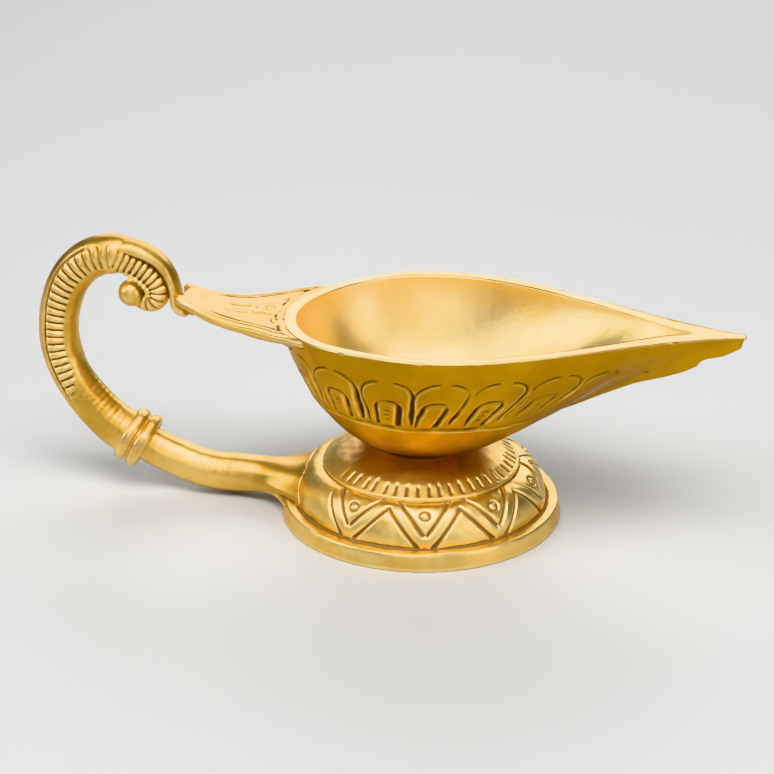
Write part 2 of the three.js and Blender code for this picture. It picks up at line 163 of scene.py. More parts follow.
def ringSkin(rings, fans=True):  # a closed skin over rings whose counts are equal or differ by a whole factor
    starts = np.concatenate([[0], np.cumsum([len(r) for r in rings])])
    faces = []
    for k in range(len(rings) - 1):
        a, b, nA, nB = starts[k], starts[k + 1], len(rings[k]), len(rings[k + 1])
        if nA == nB:
            i = np.arange(nA)
            j = (i + 1) % nA
            faces += np.stack([a + i, a + j, b + j, b + i], 1).tolist()
            continue
        fine, coarse, nFine, nCoarse = (a, b, nA, nB) if nA > nB else (b, a, nB, nA)
        ratio = nFine // nCoarse
        for j in range(nCoarse):
            here, there = coarse + j, coarse + (j + 1) % nCoarse
            for i in range(ratio):
                first, second = fine + ratio * j + i, fine + (ratio * j + i + 1) % nFine
                faces.append([first, second, here if i < ratio // 2 else there])
            faces.append([fine + ratio * j + ratio // 2, there, here])
    points = np.concatenate(rings)
    if not fans:
        return points, faces
    middles = [rings[0].mean(0), rings[-1].mean(0)]
    for middle, start, count in ((0, starts[0], len(rings[0])), (1, starts[-2], len(rings[-1]))):
        tip = len(points) + middle
        faces += [[start + i, start + (i + 1) % count, tip] for i in range(count)]
    return np.concatenate([points, middles]), faces


def makeObject(name, points, faces, weld=0):
    mesh = bpy.data.meshes.new(name)
    mesh.from_pydata(placed(points).tolist(), [], faces)
    shape = bmesh.new()
    shape.from_mesh(mesh)
    if weld:
        bmesh.ops.remove_doubles(shape, verts=shape.verts, dist=weld)
    bmesh.ops.recalc_face_normals(shape, faces=shape.faces)
    shape.to_mesh(mesh)
    shape.free()
    mesh.shade_smooth()
    made = bpy.data.objects.new(name, mesh)
    scene.collection.objects.link(made)
    return made


def joined(name, parts):  # several closed skins in one object
    points, faces, start = [], [], 0
    for partPoints, partFaces in parts:
        points.append(partPoints)
        faces += [[start + i for i in face] for face in partFaces]
        start += len(partPoints)
    return makeObject(name, np.concatenate(points), faces)


def applyModifier(target, modifier):
    graph = bpy.context.evaluated_depsgraph_get()
    mesh = bpy.data.meshes.new_from_object(target.evaluated_get(graph), depsgraph=graph)
    target.modifiers.remove(modifier)
    old = target.data
    target.data = mesh
    bpy.data.meshes.remove(old)
    mesh.shade_smooth()


def fuse(target, voxel):  # one skin over overlapping parts, as a casting has
    remesh = target.modifiers.new("fuse", "REMESH")
    remesh.mode = "VOXEL"
    remesh.voxel_size = voxel * mm
    remesh.use_smooth_shade = True
    applyModifier(target, remesh)


def unite(target, other):
    union = target.modifiers.new("unite", "BOOLEAN")
    union.operation = "UNION"
    union.solver = "MANIFOLD"
    union.object = other
    applyModifier(target, union)
    bpy.data.objects.remove(other)


def meshArrays(mesh):
    points = np.empty(len(mesh.vertices) * 3)
    mesh.vertices.foreach_get("co", points)
    edges = np.empty(len(mesh.edges) * 2, np.int64)
    mesh.edges.foreach_get("vertices", edges)
    return points.reshape(-1, 3), edges.reshape(-1, 2)


def neighbourMean(points, edges, rounds, share=1.0, weight=None):
    count = len(points)
    a, b = edges.T
    degree = np.maximum(np.bincount(a, minlength=count) + np.bincount(b, minlength=count), 1)
    move = share if weight is None else (share * weight)[:, None]
    for _ in range(rounds):
        mean = np.stack(
            [
                (np.bincount(a, points[b, k], count) + np.bincount(b, points[a, k], count)) / degree
                for k in range(points.shape[1])
            ],
            1,
        )
        points = points + (mean - points) * move
    return points


def relax(target, rounds, share=0.5, weight=None):
    points, edges = meshArrays(target.data)
    target.data.vertices.foreach_set("co", neighbourMean(points, edges, rounds, share, weight).ravel())
    target.data.update()


def storeValue(mesh, name, values):
    attribute = mesh.attributes.get(name) or mesh.attributes.new(name, "FLOAT", "POINT")
    attribute.data.foreach_set("value", values.astype(np.float32))


def storeWearAndShade(target, fine=8, broad=60):
    # "hollow" is how deep a point lies below its surroundings in millimetres, "nook" the same over a wider patch; the
    # nook drives painted shade in broad recesses
    mesh = target.data
    points, edges = meshArrays(mesh)
    normals = np.empty(len(points) * 3)
    mesh.vertex_normals.foreach_get("vector", normals)
    normals = normals.reshape(-1, 3)
    for name, rounds in (("hollow", fine), ("nook", broad)):
        around = neighbourMean(points, edges, rounds, 0.7)
        depth = ((around - points) * normals).sum(1) / mm
        storeValue(mesh, name, neighbourMean(depth[:, None], edges, 1, 0.5)[:, 0])


def finish(piece, material, slot, *nodes):
    piece.data.materials.clear()
    piece.data.materials.append(material)
    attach(piece, "root")
    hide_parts(*nodes)
    print(piece.name, "made,", len(piece.data.polygons), "faces")
    return piece


# Shader node groups
def newGroup(name, inputs, outputs):
    group = bpy.data.node_groups.new(name, "ShaderNodeTree")
    for label, kind, value in inputs:
        socket = group.interface.new_socket(label, in_out="INPUT", socket_type="NodeSocket" + kind)
        if value is not None:
            socket.default_value = value
    for label, kind in outputs:
        group.interface.new_socket(label, in_out="OUTPUT", socket_type="NodeSocket" + kind)
    return group, group.nodes.new("NodeGroupInput"), group.nodes.new("NodeGroupOutput")


def addNode(tree, kind, values=None, **settings):  # each value is a fixed one or another node's socket
    node = tree.nodes.new("ShaderNode" + kind)
    for key, value in settings.items():
        setattr(node, key, value)
    for key, value in (values or {}).items():
        if isinstance(value, bpy.types.NodeSocket):
            tree.links.new(value, node.inputs[key])
        else:
            node.inputs[key].default_value = value
    return node


def product(tree, first, *others):
    for other in others:
        first = mathNode(tree, "MULTIPLY", first, other)
    return first


def mathNode(tree, operation, first, second=0.5, third=0.0):
    return addNode(tree, "Math", {0: first, 1: second, 2: third}, operation=operation).outputs[0]


def noiseNode(tree, vector, scale, detail=4.0, rough=0.55):
    values = {"Vector": vector, "Scale": scale, "Detail": detail, "Roughness": rough}
    return addNode(tree, "TexNoise", values).outputs["Fac"]


def rampNode(tree, value, low, high):  # 0 at low, 1 at high, eased
    values = {"Value": value, "From Min": low, "From Max": high}
    return addNode(tree, "MapRange", values, interpolation_type="SMOOTHSTEP").outputs["Result"]


def mixColour(tree, share, first, second):  # a Mix node's colours are its inputs 6 and 7, and its output 2
    return addNode(tree, "Mix", {"Factor": share, 6: first, 7: second}, data_type="RGBA").outputs[2]


def makeToneGroup():  # cast brass is never one colour: broad clouds, smaller blotches and faint specks
    inputs = [
        ("Coordinates", "Vector", None),
        ("Light", "Color", (0.9, 0.65, 0.3, 1)),
        ("Deep", "Color", (0.7, 0.42, 0.12, 1)),
        ("Tarnish", "Color", (0.5, 0.27, 0.13, 1)),
        ("Cloud Scale", "Float", 60.0),
        ("Tarnish Amount", "Float", 0.3),
    ]
    tree, source, sink = newGroup("brassTone", inputs, [("Color", "Color")])
    at, scale = source.outputs["Coordinates"], source.outputs["Cloud Scale"]
    cloud = rampNode(tree, noiseNode(tree, at, scale, 3.0), 0.3, 0.7)
    blotch = rampNode(tree, noiseNode(tree, at, product(tree, scale, 4.3), 6.0, 0.65), 0.52, 0.72)
    speck = rampNode(tree, noiseNode(tree, at, product(tree, scale, 26.0), 2.0), 0.66, 0.78)
    body = mixColour(tree, cloud, source.outputs["Deep"], source.outputs["Light"])
    amount = source.outputs["Tarnish Amount"]
    stained = mixColour(tree, product(tree, blotch, amount), body, source.outputs["Tarnish"])
    flecked = mixColour(tree, product(tree, speck, amount, 0.6), stained, source.outputs["Tarnish"])
    tree.links.new(flecked, sink.inputs["Color"])
    return tree


def makePatinaAndShadeGroup():  # dark dirt in fine hollows, painted shade in broad recesses, pale rubbed metal on edges
    inputs = [
        ("Coordinates", "Vector", None),
        ("Color", "Color", (0.8, 0.55, 0.2, 1)),
        ("Hollow", "Float", 0.0),
        ("Nook", "Float", 0.0),
        ("Dirt", "Color", (0.09, 0.045, 0.018, 1)),
        ("Rubbed", "Color", (1.0, 0.84, 0.5, 1)),
        ("Depth", "Float", 0.12),
        ("Dirt Amount", "Float", 0.9),
        ("Rub Amount", "Float", 0.5),
    ]
    tree, source, sink = newGroup("patinaAndShadeAndWear", inputs, [("Color", "Color"), ("Dirt Mask", "Float")])
    at, depth = source.outputs["Coordinates"], source.outputs["Depth"]
    patchy = mathNode(tree, "MULTIPLY_ADD", noiseNode(tree, at, 420.0, 5.0, 0.6), 0.9, 0.55)
    # painted shade: the nook's share darkens broad recesses; the hollow's share is dirt in the fine cuts
    both = mathNode(tree, "MULTIPLY_ADD", source.outputs["Nook"], 0.35, source.outputs["Hollow"])
    sunk = mathNode(tree, "DIVIDE", product(tree, both, patchy), depth)
    dirt = product(tree, rampNode(tree, sunk, 0.12, 1.0), source.outputs["Dirt Amount"])
    stand = mathNode(tree, "DIVIDE", product(tree, source.outputs["Hollow"], -1.0), depth)
    rub = product(tree, rampNode(tree, stand, 0.12, 0.9), source.outputs["Rub Amount"])
    rubbed = mixColour(tree, rub, source.outputs["Color"], source.outputs["Rubbed"])
    tree.links.new(mixColour(tree, dirt, rubbed, source.outputs["Dirt"]), sink.inputs["Color"])
    tree.links.new(dirt, sink.inputs["Dirt Mask"])
    return tree


def makeGrainGroup():  # fine casting skin, polishing scratches and small pits, for roughness and bump
    inputs = [
        ("Coordinates", "Vector", None),
        ("Grain Scale", "Float", 900.0),
        ("Pits", "Float", 0.4),
        ("Scratches", "Float", 0.4),
        ("Dull", "Float", 0.5),
        ("Bright", "Float", 0.25),
        ("Dirt Mask", "Float", 0.0),
    ]
    tree, source, sink = newGroup("castGrain", inputs, [("Height", "Float"), ("Roughness", "Float")])
    at, scale = source.outputs["Coordinates"], source.outputs["Grain Scale"]
    skin = noiseNode(tree, at, scale, 6.0, 0.6)
    lumps = noiseNode(tree, at, product(tree, scale, 0.16), 3.0)
    stretched = addNode(tree, "Mapping", {"Vector": at, "Rotation": (0.3, 0.5, 0.2), "Scale": (0.12, 1.0, 1.6)})
    scratch = noiseNode(tree, stretched.outputs["Vector"], product(tree, scale, 2.2), 3.0, 0.7)
    cells = addNode(tree, "TexVoronoi", {"Vector": at, "Scale": product(tree, scale, 0.55)})
    pit = rampNode(tree, cells.outputs["Distance"], 0.3, 0.08)
    pit = product(tree, pit, rampNode(tree, lumps, 0.55, 0.68), source.outputs["Pits"])
    fine = mathNode(tree, "MULTIPLY_ADD", scratch, source.outputs["Scratches"], product(tree, skin, 0.5))
    height = mathNode(tree, "MULTIPLY_ADD", lumps, 1.6, fine)
    tree.links.new(mathNode(tree, "SUBTRACT", height, pit), sink.inputs["Height"])
    share = mathNode(tree, "MULTIPLY_ADD", skin, 0.5, product(tree, lumps, 0.5))
    span = mathNode(tree, "SUBTRACT", source.outputs["Dull"], source.outputs["Bright"])
    rough = mathNode(tree, "MULTIPLY_ADD", rampNode(tree, share, 0.2, 0.8), span, source.outputs["Bright"])
    rough = mathNode(tree, "MULTIPLY_ADD", source.outputs["Dirt Mask"], 0.35, rough)
    tree.links.new(rough, sink.inputs["Roughness"])
    return tree


toneGroup, patinaAndShadeGroup, grainGroup = makeToneGroup(), makePatinaAndShadeGroup(), makeGrainGroup()


def useGroup(tree, group, look, keys, **sockets):  # a look's "cloudScale" and a socket cloudScale feed "Cloud Scale"
    values = {key: rgb(look[key]) if isinstance(look[key], tuple) else look[key] for key in keys.split()}
    values.update(sockets)
    spaced = {"".join(" " + c if c.isupper() else c for c in key).title(): value for key, value in values.items()}
    return addNode(tree, "Group", spaced, node_tree=group)


def readValue(tree, name):
    return addNode(tree, "Attribute", attribute_name=name, attribute_type="GEOMETRY").outputs["Fac"]


def rgb(colour):
    return (*colour, 1.0)


def makeMetal(name, look, polishAndLightLook=None):
    material = bpy.data.materials.new(name)
    material.use_nodes = True
    tree = material.node_tree
    shader = tree.nodes["Principled BSDF"]
    at = addNode(tree, "TexCoord").outputs["Object"]
    hollow, nook = readValue(tree, "hollow"), readValue(tree, "nook")

    def toneOf(colours):
        keys = "light deep tarnish cloudScale tarnishAmount"
        return useGroup(tree, toneGroup, colours, keys, coordinates=at).outputs["Color"]

    colour = toneOf(look)
    # painted light: the paler copy on the cup, rim and tang, with a little real smoothing
    if polishAndLightLook:
        polishAndLight = readValue(tree, "polishAndLight")
        colour = mixColour(tree, polishAndLight, colour, toneOf(polishAndLightLook))
    # a colour ramped by height; on the bowl it is painted shade darkening towards the base
    if "heightTint" in look:
        height = addNode(tree, "SeparateXYZ", {"Vector": at}).outputs["Z"]
        low, high, tint, amount = look["heightTint"]
        uneven = mathNode(tree, "MULTIPLY_ADD", noiseNode(tree, at, 90.0), 0.006, height)
        share = product(tree, rampNode(tree, uneven, low * mm + 0.003, high * mm + 0.003), amount)
        if polishAndLightLook:
            share = product(tree, share, mathNode(tree, "SUBTRACT", 1.0, polishAndLight))
        colour = mixColour(tree, share, colour, rgb(tint))
    keys = "dirt rubbed depth dirtAmount rubAmount"
    # dirt in fine cuts and painted shade in broad recesses darken the colour, lower the metal and dull it
    patinaAndShade = useGroup(tree, patinaAndShadeGroup, look, keys, coordinates=at, color=colour, hollow=hollow, nook=nook)
    dirtMask = patinaAndShade.outputs["Dirt Mask"]
    keys = "grainScale pits scratches dull bright"
    grain = useGroup(tree, grainGroup, look, keys, coordinates=at, dirtMask=dirtMask)
    tree.links.new(patinaAndShade.outputs["Color"], shader.inputs["Base Color"])
    rough = grain.outputs["Roughness"]
    if polishAndLightLook:
        rough = mathNode(tree, "SUBTRACT", rough, product(tree, polishAndLight, polishAndLightLook["smoother"]))
    tree.links.new(rough, shader.inputs["Roughness"])
    metal = mathNode(tree, "MULTIPLY_ADD", dirtMask, -0.55, 1.0)
    tree.links.new(metal, shader.inputs["Metallic"])
    bump = addNode(
        tree, "Bump", {"Height": grain.outputs["Height"], "Strength": look["bump"], "Distance": look["bumpDepth"] * mm}
    )
    tree.links.new(bump.outputs["Normal"], shader.inputs["Normal"])
    return material


brassLook = {
    "light": (0.90, 0.60, 0.14),
    "deep": (0.76, 0.46, 0.07),
    "tarnish": (0.52, 0.27, 0.07),
    # the dark colour serves dirt in fine cuts and painted shade in broad recesses
    "dirt": (0.10, 0.045, 0.015),
    "rubbed": (1.0, 0.80, 0.42),
    "cloudScale": 55.0,
    "tarnishAmount": 0.25,
    "depth": 0.11,
    "dirtAmount": 0.9,
    "rubAmount": 0.5,
    "grainScale": 900.0,
    "pits": 0.1,
    "scratches": 0.35,
    "dull": 0.42,
    "bright": 0.33,
    "bump": 0.5,
    "bumpDepth": 0.16,
}


# Foot
footSizes = {
    "columns": 720,
    "ringHeight": 4.4,
    "ringTaper": 0.7,
    "ringBevel": 0.55,
    "ringLand": 3.1,
    "landGroove": 0.18,  # depth of the shallow groove round the dome
    "landGrooveWidth": 1.0,
    "ringFoot": 4.8,
    "domeWidth": 6.7,
    "domeRise": 8.8,
    "tierLip": 1.0,
    "bandWidth": 3.4,
    "bandRise": 2.0,
    "crownRadius": 13.5,
    "wall": 3.0,
    "socketRadius": 7.8,
    "socketDepth": 3.3,
    "seatPlate": 3.6,
    "boltHole": 2.3,  # radius
    "zigzags": 10,
    "zigzagTurn": -78.0,  # degrees, where one of the zigzag's low points lies
    "innerLine": ((0.45, 3.2), (6.9, 12.6)),  # from the low point: sideways and up, lower end and upper end
    "innerSlope": 9.7 / 6.75,
    "outerLine": ((1.8, 0.2), 9.4),  # its lower end, and how high it meets the next one
    "lineHalfWidth": 0.42,
    "lineDepth": 0.62,
    "bandLift": 0.14,  # how far the metal between the two lines stands up
    "dotUp": 8.0,
    "dotRadius": 0.8,
    "dotHeight": 0.26,
    "dotRing": 1.2,
    "ticks": 53,
    "tickLength": 3.9,
    "tickHalfWidth": 0.48,
    "tickDepth": 0.5,
    "plainHalfAngle": 50,  # the dome is plain on both sides of the arm
}
footRadius = (footHigh.x - footLow.x) / 2 / mm
seatHeight = footHigh.z / mm
domeRadius = footRadius - footSizes["ringTaper"] - footSizes["ringLand"]
tierRadius = domeRadius - footSizes["domeWidth"]
domeTop = footSizes["ringHeight"] + footSizes["domeRise"]
bandTop = domeTop + footSizes["tierLip"] + footSizes["bandRise"]


def segmentDistance(x, y, start, end):
    dx, dy = end[0] - start[0], end[1] - start[1]
    share = np.clip(((x - start[0]) * dx + (y - start[1]) * dy) / (dx * dx + dy * dy), 0, 1)
    return np.hypot(x - start[0] - share * dx, y - start[1] - share * dy)


def domeRelief(turn, up):  # turn in degrees round the foot, up in millimetres along the dome
    size = footSizes
    pitch = 360 / size["zigzags"]
    place = (turn - size["zigzagTurn"]) / pitch
    number = np.round(place)
    draw = np.random.default_rng(11).uniform(-1, 1, (4, size["zigzags"] + 1))  # each one a little off by hand
    which = number.astype(int) % size["zigzags"]
    perDegree = math.radians(1) * (domeRadius + tierRadius) / 2
    x = ((place - number) * pitch + 0.5 * draw[0][which]) * perDegree
    side = np.abs(x)
    halfPitch = pitch / 2 * perDegree
    low = 0.4 * draw[1][which]
    (innerX, innerUp), innerTop = size["innerLine"]
    (outerX, outerUp), outerTop = size["outerLine"]
    inner = segmentDistance(side, up, (innerX, innerUp + low), innerTop)
    outer = segmentDistance(side, up, (outerX, outerUp + low), (halfPitch, outerTop))
    width = size["lineHalfWidth"] * (1 + 0.2 * draw[2][which])
    lines = np.maximum(groove(inner, width), groove(outer, width * 0.95))
    between = smoothStep(inner, 0.35, 0.8) * smoothStep(outer, 0.35, 0.8)
    inBand = up <= innerUp - 0.3 + low + (side - innerX + 0.3) * size["innerSlope"]
    inBand &= up > outerUp + low + (side - outerX) * (outerTop - outerUp) / (halfPitch - outerX)
    relief = -size["lineDepth"] * lines + size["bandLift"] * between * inBand
    fromDot = np.hypot(x, up - size["dotUp"])
    relief += size["dotHeight"] * np.sqrt(np.clip(1 - (fromDot / size["dotRadius"]) ** 2, 0, 1))
    relief -= 0.3 * groove(fromDot - size["dotRing"], 0.3)
    fromArm = np.abs((turn % 360) - 180)
    return relief * smoothStep(fromArm, size["plainHalfAngle"] - 3, size["plainHalfAngle"] + 2)


def bandRelief(turn, across):  # across in millimetres from the tier's lip inwards
    size = footSizes
    pitch = 360 / size["ticks"]
    place = turn / pitch
    number = np.round(place)
    draw = np.random.default_rng(12).uniform(-1, 1, (3, size["ticks"] + 1))
    which = number.astype(int) % size["ticks"]
    x = (place - number) * pitch * math.radians(1) * (tierRadius - 1.5) + 0.22 * draw[0][which]
    tickEnd = size["tickLength"] + 0.35 * draw[1][which]
    ends = smoothStep(across, 0.3, 0.7) * (1 - smoothStep(across, tickEnd - 1.0, tickEnd + 0.2))
    fromArm = np.abs((turn % 360) - 180)
    worn = (0.8 + 0.2 * draw[2][which]) * smoothStep(fromArm, 35, 60)
    return -size["tickDepth"] * worn * ends * groove(x, size["tickHalfWidth"] * 0.8)


def footProfile():  # the outside, from the table up to the seat, as (radius, height) rows with their zone
    size = footSizes
    ringTop = size["ringHeight"]
    bevel = size["ringBevel"]
    edge = footRadius - size["ringTaper"]
    rows = []

    def line(zone, count, *corners):
        for start, end in zip(corners, corners[1:]):
            for share in np.linspace(0, 1, count, endpoint=False):
                rows.append((*mix(np.array(start, float), np.array(end, float), share), zone))

    line("ring", 3, (footRadius - size["ringFoot"], 0), (footRadius - 0.5, 0))
    line("ring", 3, (footRadius - 0.5, 0), (footRadius - 0.12, 0.14), (footRadius - 0.02, 0.5))
    line("ring", 6, (footRadius - 0.02, 0.5), (edge + 0.05, ringTop - bevel))
    line("ring", 3, (edge + 0.05, ringTop - bevel), (edge - 0.18, ringTop - 0.14), (edge - bevel, ringTop))
    grooveWidth = size["landGrooveWidth"]
    line("land", 6, (edge - bevel, ringTop), (domeRadius + grooveWidth, ringTop - 0.05))
    for share in np.linspace(0, 1, 6, endpoint=False):
        sink = size["landGroove"] * math.sin(math.pi * share) ** 1.2
        rows.append((domeRadius + grooveWidth * (1 - share), ringTop - 0.05 - sink, "land"))
    for angle in np.linspace(0, math.pi / 2, 50, endpoint=False):
        radius = tierRadius + size["domeWidth"] * math.cos(angle)
        rows.append((radius, ringTop + size["domeRise"] * math.sin(angle), "dome"))
    lip = domeTop + size["tierLip"]
    line("lip", 3, (tierRadius + 0.1, domeTop - 0.1), (tierRadius - 0.05, domeTop - 0.05), (tierRadius, lip - 0.35))
    line("lip", 3, (tierRadius, lip - 0.35), (tierRadius - 0.12, lip - 0.1), (tierRadius - 0.4, lip + 0.08))
    line("band", 16, (tierRadius - 0.4, lip + 0.08), (tierRadius - size["bandWidth"], bandTop))
    inner = tierRadius - size["bandWidth"]
    for share in np.linspace(0, 1, 18, endpoint=False):
        radius = mix(inner, size["crownRadius"] - 0.6, share)
        rows.append((radius, mix(bandTop, seatHeight, share**0.92), "crown"))
    line("seat", 3, (size["crownRadius"] - 0.6, seatHeight), (size["socketRadius"], seatHeight))
    return rows


def makeFoot():
    size = footSizes
    rows = footProfile()
    radii = np.array([r[0] for r in rows])[:, None]
    heights = np.array([r[1] for r in rows])[:, None]
    zones = np.array([r[2] for r in rows])
    turn = np.arange(size["columns"]) * 360 / size["columns"]
    angle = np.radians(turn)[None]
    grid = np.stack([radii * np.cos(angle), radii * np.sin(angle), heights + 0 * angle], 2)
    along = np.concatenate([[0], np.cumsum(np.hypot(np.diff(radii[:, 0]), np.diff(heights[:, 0])))])
    relief = np.zeros(grid.shape[:2])
    for inZone, make in ((zones == "dome", domeRelief), ((zones == "band") | (zones == "crown"), bandRelief)):
        start = along[inZone][0]
        relief[inZone] = make(turn[None] + 0 * along[inZone][:, None], along[inZone][:, None] - start + 0 * turn[None])
    uneven = 0.07 * handWobble(grid, 14, 5) + 0.03 * handWobble(grid, 4, 6)
    uneven *= smoothStep(heights, 0.2, 1.2) * (1 - smoothStep(heights, seatHeight - 0.4, seatHeight))
    uneven = np.where(grid[..., 2] < 4.3, -np.abs(uneven), uneven)
    normal = outwardNormals(grid, len(rows) // 2, 0, (1, 0, 0.5))
    grid = grid + normal * (relief + uneven)[..., None]

    coarse = size["columns"] // 4
    around = np.arange(coarse) * 2 * math.pi / coarse

    def circle(radius, height, bump=0.0):
        ring = hoop(radius, height, around)
        if bump:
            ring[:, :2] *= (1 + bump * handWobble(ring, 9, 7) / radius)[:, None]
        return ring

    ringFoot = footRadius - size["ringFoot"]
    socketFloor = seatHeight - size["socketDepth"]
    hollowTop = socketFloor - size["seatPlate"]
    holeTop = circle(size["boltHole"], socketFloor)
    inside = [holeTop, circle(size["boltHole"], hollowTop)]
    inside += [circle(r, hollowTop) for r in np.linspace(4, tierRadius - size["bandWidth"], 8)]
    for at in np.linspace(0, math.pi / 2, 12):
        radius = tierRadius + (size["domeWidth"] - size["wall"]) * math.sin(at)
        height = size["ringHeight"] + (size["domeRise"] - size["wall"]) * math.cos(at)
        inside.append(circle(radius, height, 0.12))
    inside += [circle(mix(radius, ringFoot, s), mix(height, 0.3, s), 0.1) for s in (0.35, 0.7, 0.95)]
    socket = [circle(size["socketRadius"], seatHeight - 0.3), circle(size["socketRadius"], socketFloor)]
    points, faces = ringSkin(inside + list(grid) + socket + [holeTop], fans=False)  # welding joins first and last ring
    foot = makeObject("domed_foot", points, faces, weld=1e-7)
    storeWearAndShade(foot)
    return foot


# the foot's dark colour below serves dirt in its cuts and painted shade in its broad recesses
footLook = dict(
    brassLook,
    light=(1.0, 0.74, 0.28), deep=(0.84, 0.54, 0.14), dirt=(0.17, 0.08, 0.025), dirtAmount=0.85, rubAmount=0.55,
)
footLook["heightTint"] = (bandTop - 0.8, bandTop + 1.2, (0.62, 0.33, 0.13), 0.6)
footBrass = makeMetal("footBrass", footLook)
finish(makeFoot(), footBrass, "foot_brass", "pedestal_foot")


# Bowl
bowlSizes = {
    "columns": 960,
    "seatGap": 0.3,
    "widest": 3.0,  # from the foot's axis towards the spout
    "rear": 34.0,
    "noseRadius": 1.3,
    "spoutWall": 1.6,  # extra wall near the spout's tip
    "shoulder": 0.36,  # shares of the spout's length, for the curve of its sides
    "waist": 0.63,
    "waistWidth": 0.25,
    "height": 32.4,
    "baseRadius": 11.5,
    "wall": 3.1,
    "cupDepth": 28.4,
    "cupFloorRadius": 9.5,
    "belly": 1.62,
    "keel": 1.05,
    "keelFullness": 2.5,
    "keelLedge": 1.0,
    "channel": 1.2,
    "rearDip": 1.1,
    "spigotRadius": 7.5,
    "spigotLength": 3.0,
    "boltHole": 2.3,  # radius
    "boltHoleDepth": 2.5,
    "archPitch": 14.88,  # along the rim
    "firstArch": 14.0,  # from the spout's tip
    "archHalfWidth": 6.9,
    "archShoulder": 5.0,
    "archHeight": 46.4,
    "crownDip": 3.0,  # how much lower the arches' crowns lie towards the spout
    "lineDepth": 0.3,
    "lineHalfWidth": 0.27,
    "legDepth": 0.9,
    "legHalfWidth": 0.62,
    "innerHalfWidth": 3.2,
    "innerShoulder": 2.4,
    "innerLineDepth": 0.32,
    "innerLegHalfWidth": 0.6,
    "panelLift": 0.12,
    "markRows": (3.0, 4.5, 6.0),  # the small marks in each panel, down from its top
    "markDepth": 0.32,
    "innerDrop": 5.6,
    "ledgeHeight": 32.6,
    "ledgeStep": 0.4,
    "lean": 0.3,  # sideways per millimetre down, of the arches on the spout's side
    "nicks": 16,
}
spoutReach = fromAxis(bowlHigh.x)
bowlHalfWidth = (bowlHigh.y - bowlLow.y) / 2 / mm
bowlBase = seatHeight + bowlSizes["seatGap"]
rimHeight = bowlBase + bowlSizes["height"]


def rimSide(count):  # half the rim from the spout's tip to the rear, evenly spaced
    size = bowlSizes
    widest, nose = size["widest"], size["noseRadius"]
    length = spoutReach - widest
    quarter = np.linspace(0, math.pi / 2, 60)
    tip = np.stack([spoutReach - nose + nose * np.cos(quarter), nose * np.sin(quarter)], 1)
    corners = [
        (spoutReach - nose, nose),
        (widest + size["waist"] * length, size["waistWidth"] * bowlHalfWidth),
        (widest + size["shoulder"] * length, bowlHalfWidth),
        (widest, bowlHalfWidth),
    ]
    side = bezier(corners, np.linspace(0, 1, 900))
    back = np.stack([widest - (size["rear"] + widest) * np.sin(quarter), bowlHalfWidth * np.cos(quarter)], 1)
    fine = np.concatenate([tip, side[1:], evenly(back, 900)[0][1:]])
    return evenly(fine, count)


def cupSide(outer):  # half the cup's rim: the outer one drawn in by the wall, more so towards the spout
    size = bowlSizes
    way = np.gradient(outer, axis=0)
    way /= np.linalg.norm(way, axis=1, keepdims=True)
    wall = size["wall"] + size["spoutWall"] * smoothStep(outer[:, 0], 44, 62)
    inner = outer + np.stack([-way[:, 1], way[:, 0]], 1) * wall[:, None]
    inner = inner[(inner[:, 1] > 0.5) & (outer[:, 0] < spoutReach - 6)]
    tip = inner[0] + np.array([[0.6, -inner[0, 1]], [0.45, 0.25 - inner[0, 1]]])
    rear = np.array([[inner[-1, 0], 0.0]])
    return evenly(np.concatenate([tip, inner, rear]), 1500)


def mirrored(half):  # a full ring from the half that runs from tip to rear
    other = half[1:-1][::-1] * np.array([1, -1])
    return np.concatenate([half, other])


def rimTop(x):  # the rim's height, which dips a little towards the rear
    return rimHeight - bowlSizes["rearDip"] * smoothStep(-x, 6, 30)


def bowlSkin(outline, reach, rear, baseRadius, low, power, spoutPower, shares):
    halfWidth = outline[:, 1].max()
    way = np.arctan2(outline[:, 1] / halfWidth, outline[:, 0] / np.where(outline[:, 0] > 0, reach, rear))
    toSpout = np.maximum(0, np.cos(way)) ** 4
    bend = 2 / (power + (spoutPower - power) * toSpout)
    angle = np.asarray(shares)[:, None] * math.pi / 2
    out = np.sin(angle) ** bend
    up = 1 - np.maximum(np.cos(angle), 0) ** bend
    x = mix(baseRadius * np.cos(way), outline[:, 0], out)
    y = mix(baseRadius * np.sin(way), outline[:, 1], out)
    return np.stack([x, y, mix(low, rimTop(outline[:, 0]), up)], 2)


def keelDrop(grid):  # the spout's underside is fuller than the belly's curve, with a small ledge before the nose
    x, z = grid[..., 0], grid[..., 2]
    deepest = rimTop(x) - np.interp(x, grid[:, 0, 0], grid[:, 0, 2])
    fuller = bowlSizes["keelFullness"] * smoothStep(x, 49, 65) * (1 - smoothStep(x, 76.2, spoutReach + 0.5))
    ledge = bowlSizes["keelLedge"] * smoothStep(x, 66.2, 67.4) * (1 - smoothStep(x, 68, 73))
    return (fuller - ledge) * (rimTop(x) - z) / np.maximum(deepest, 0.7)


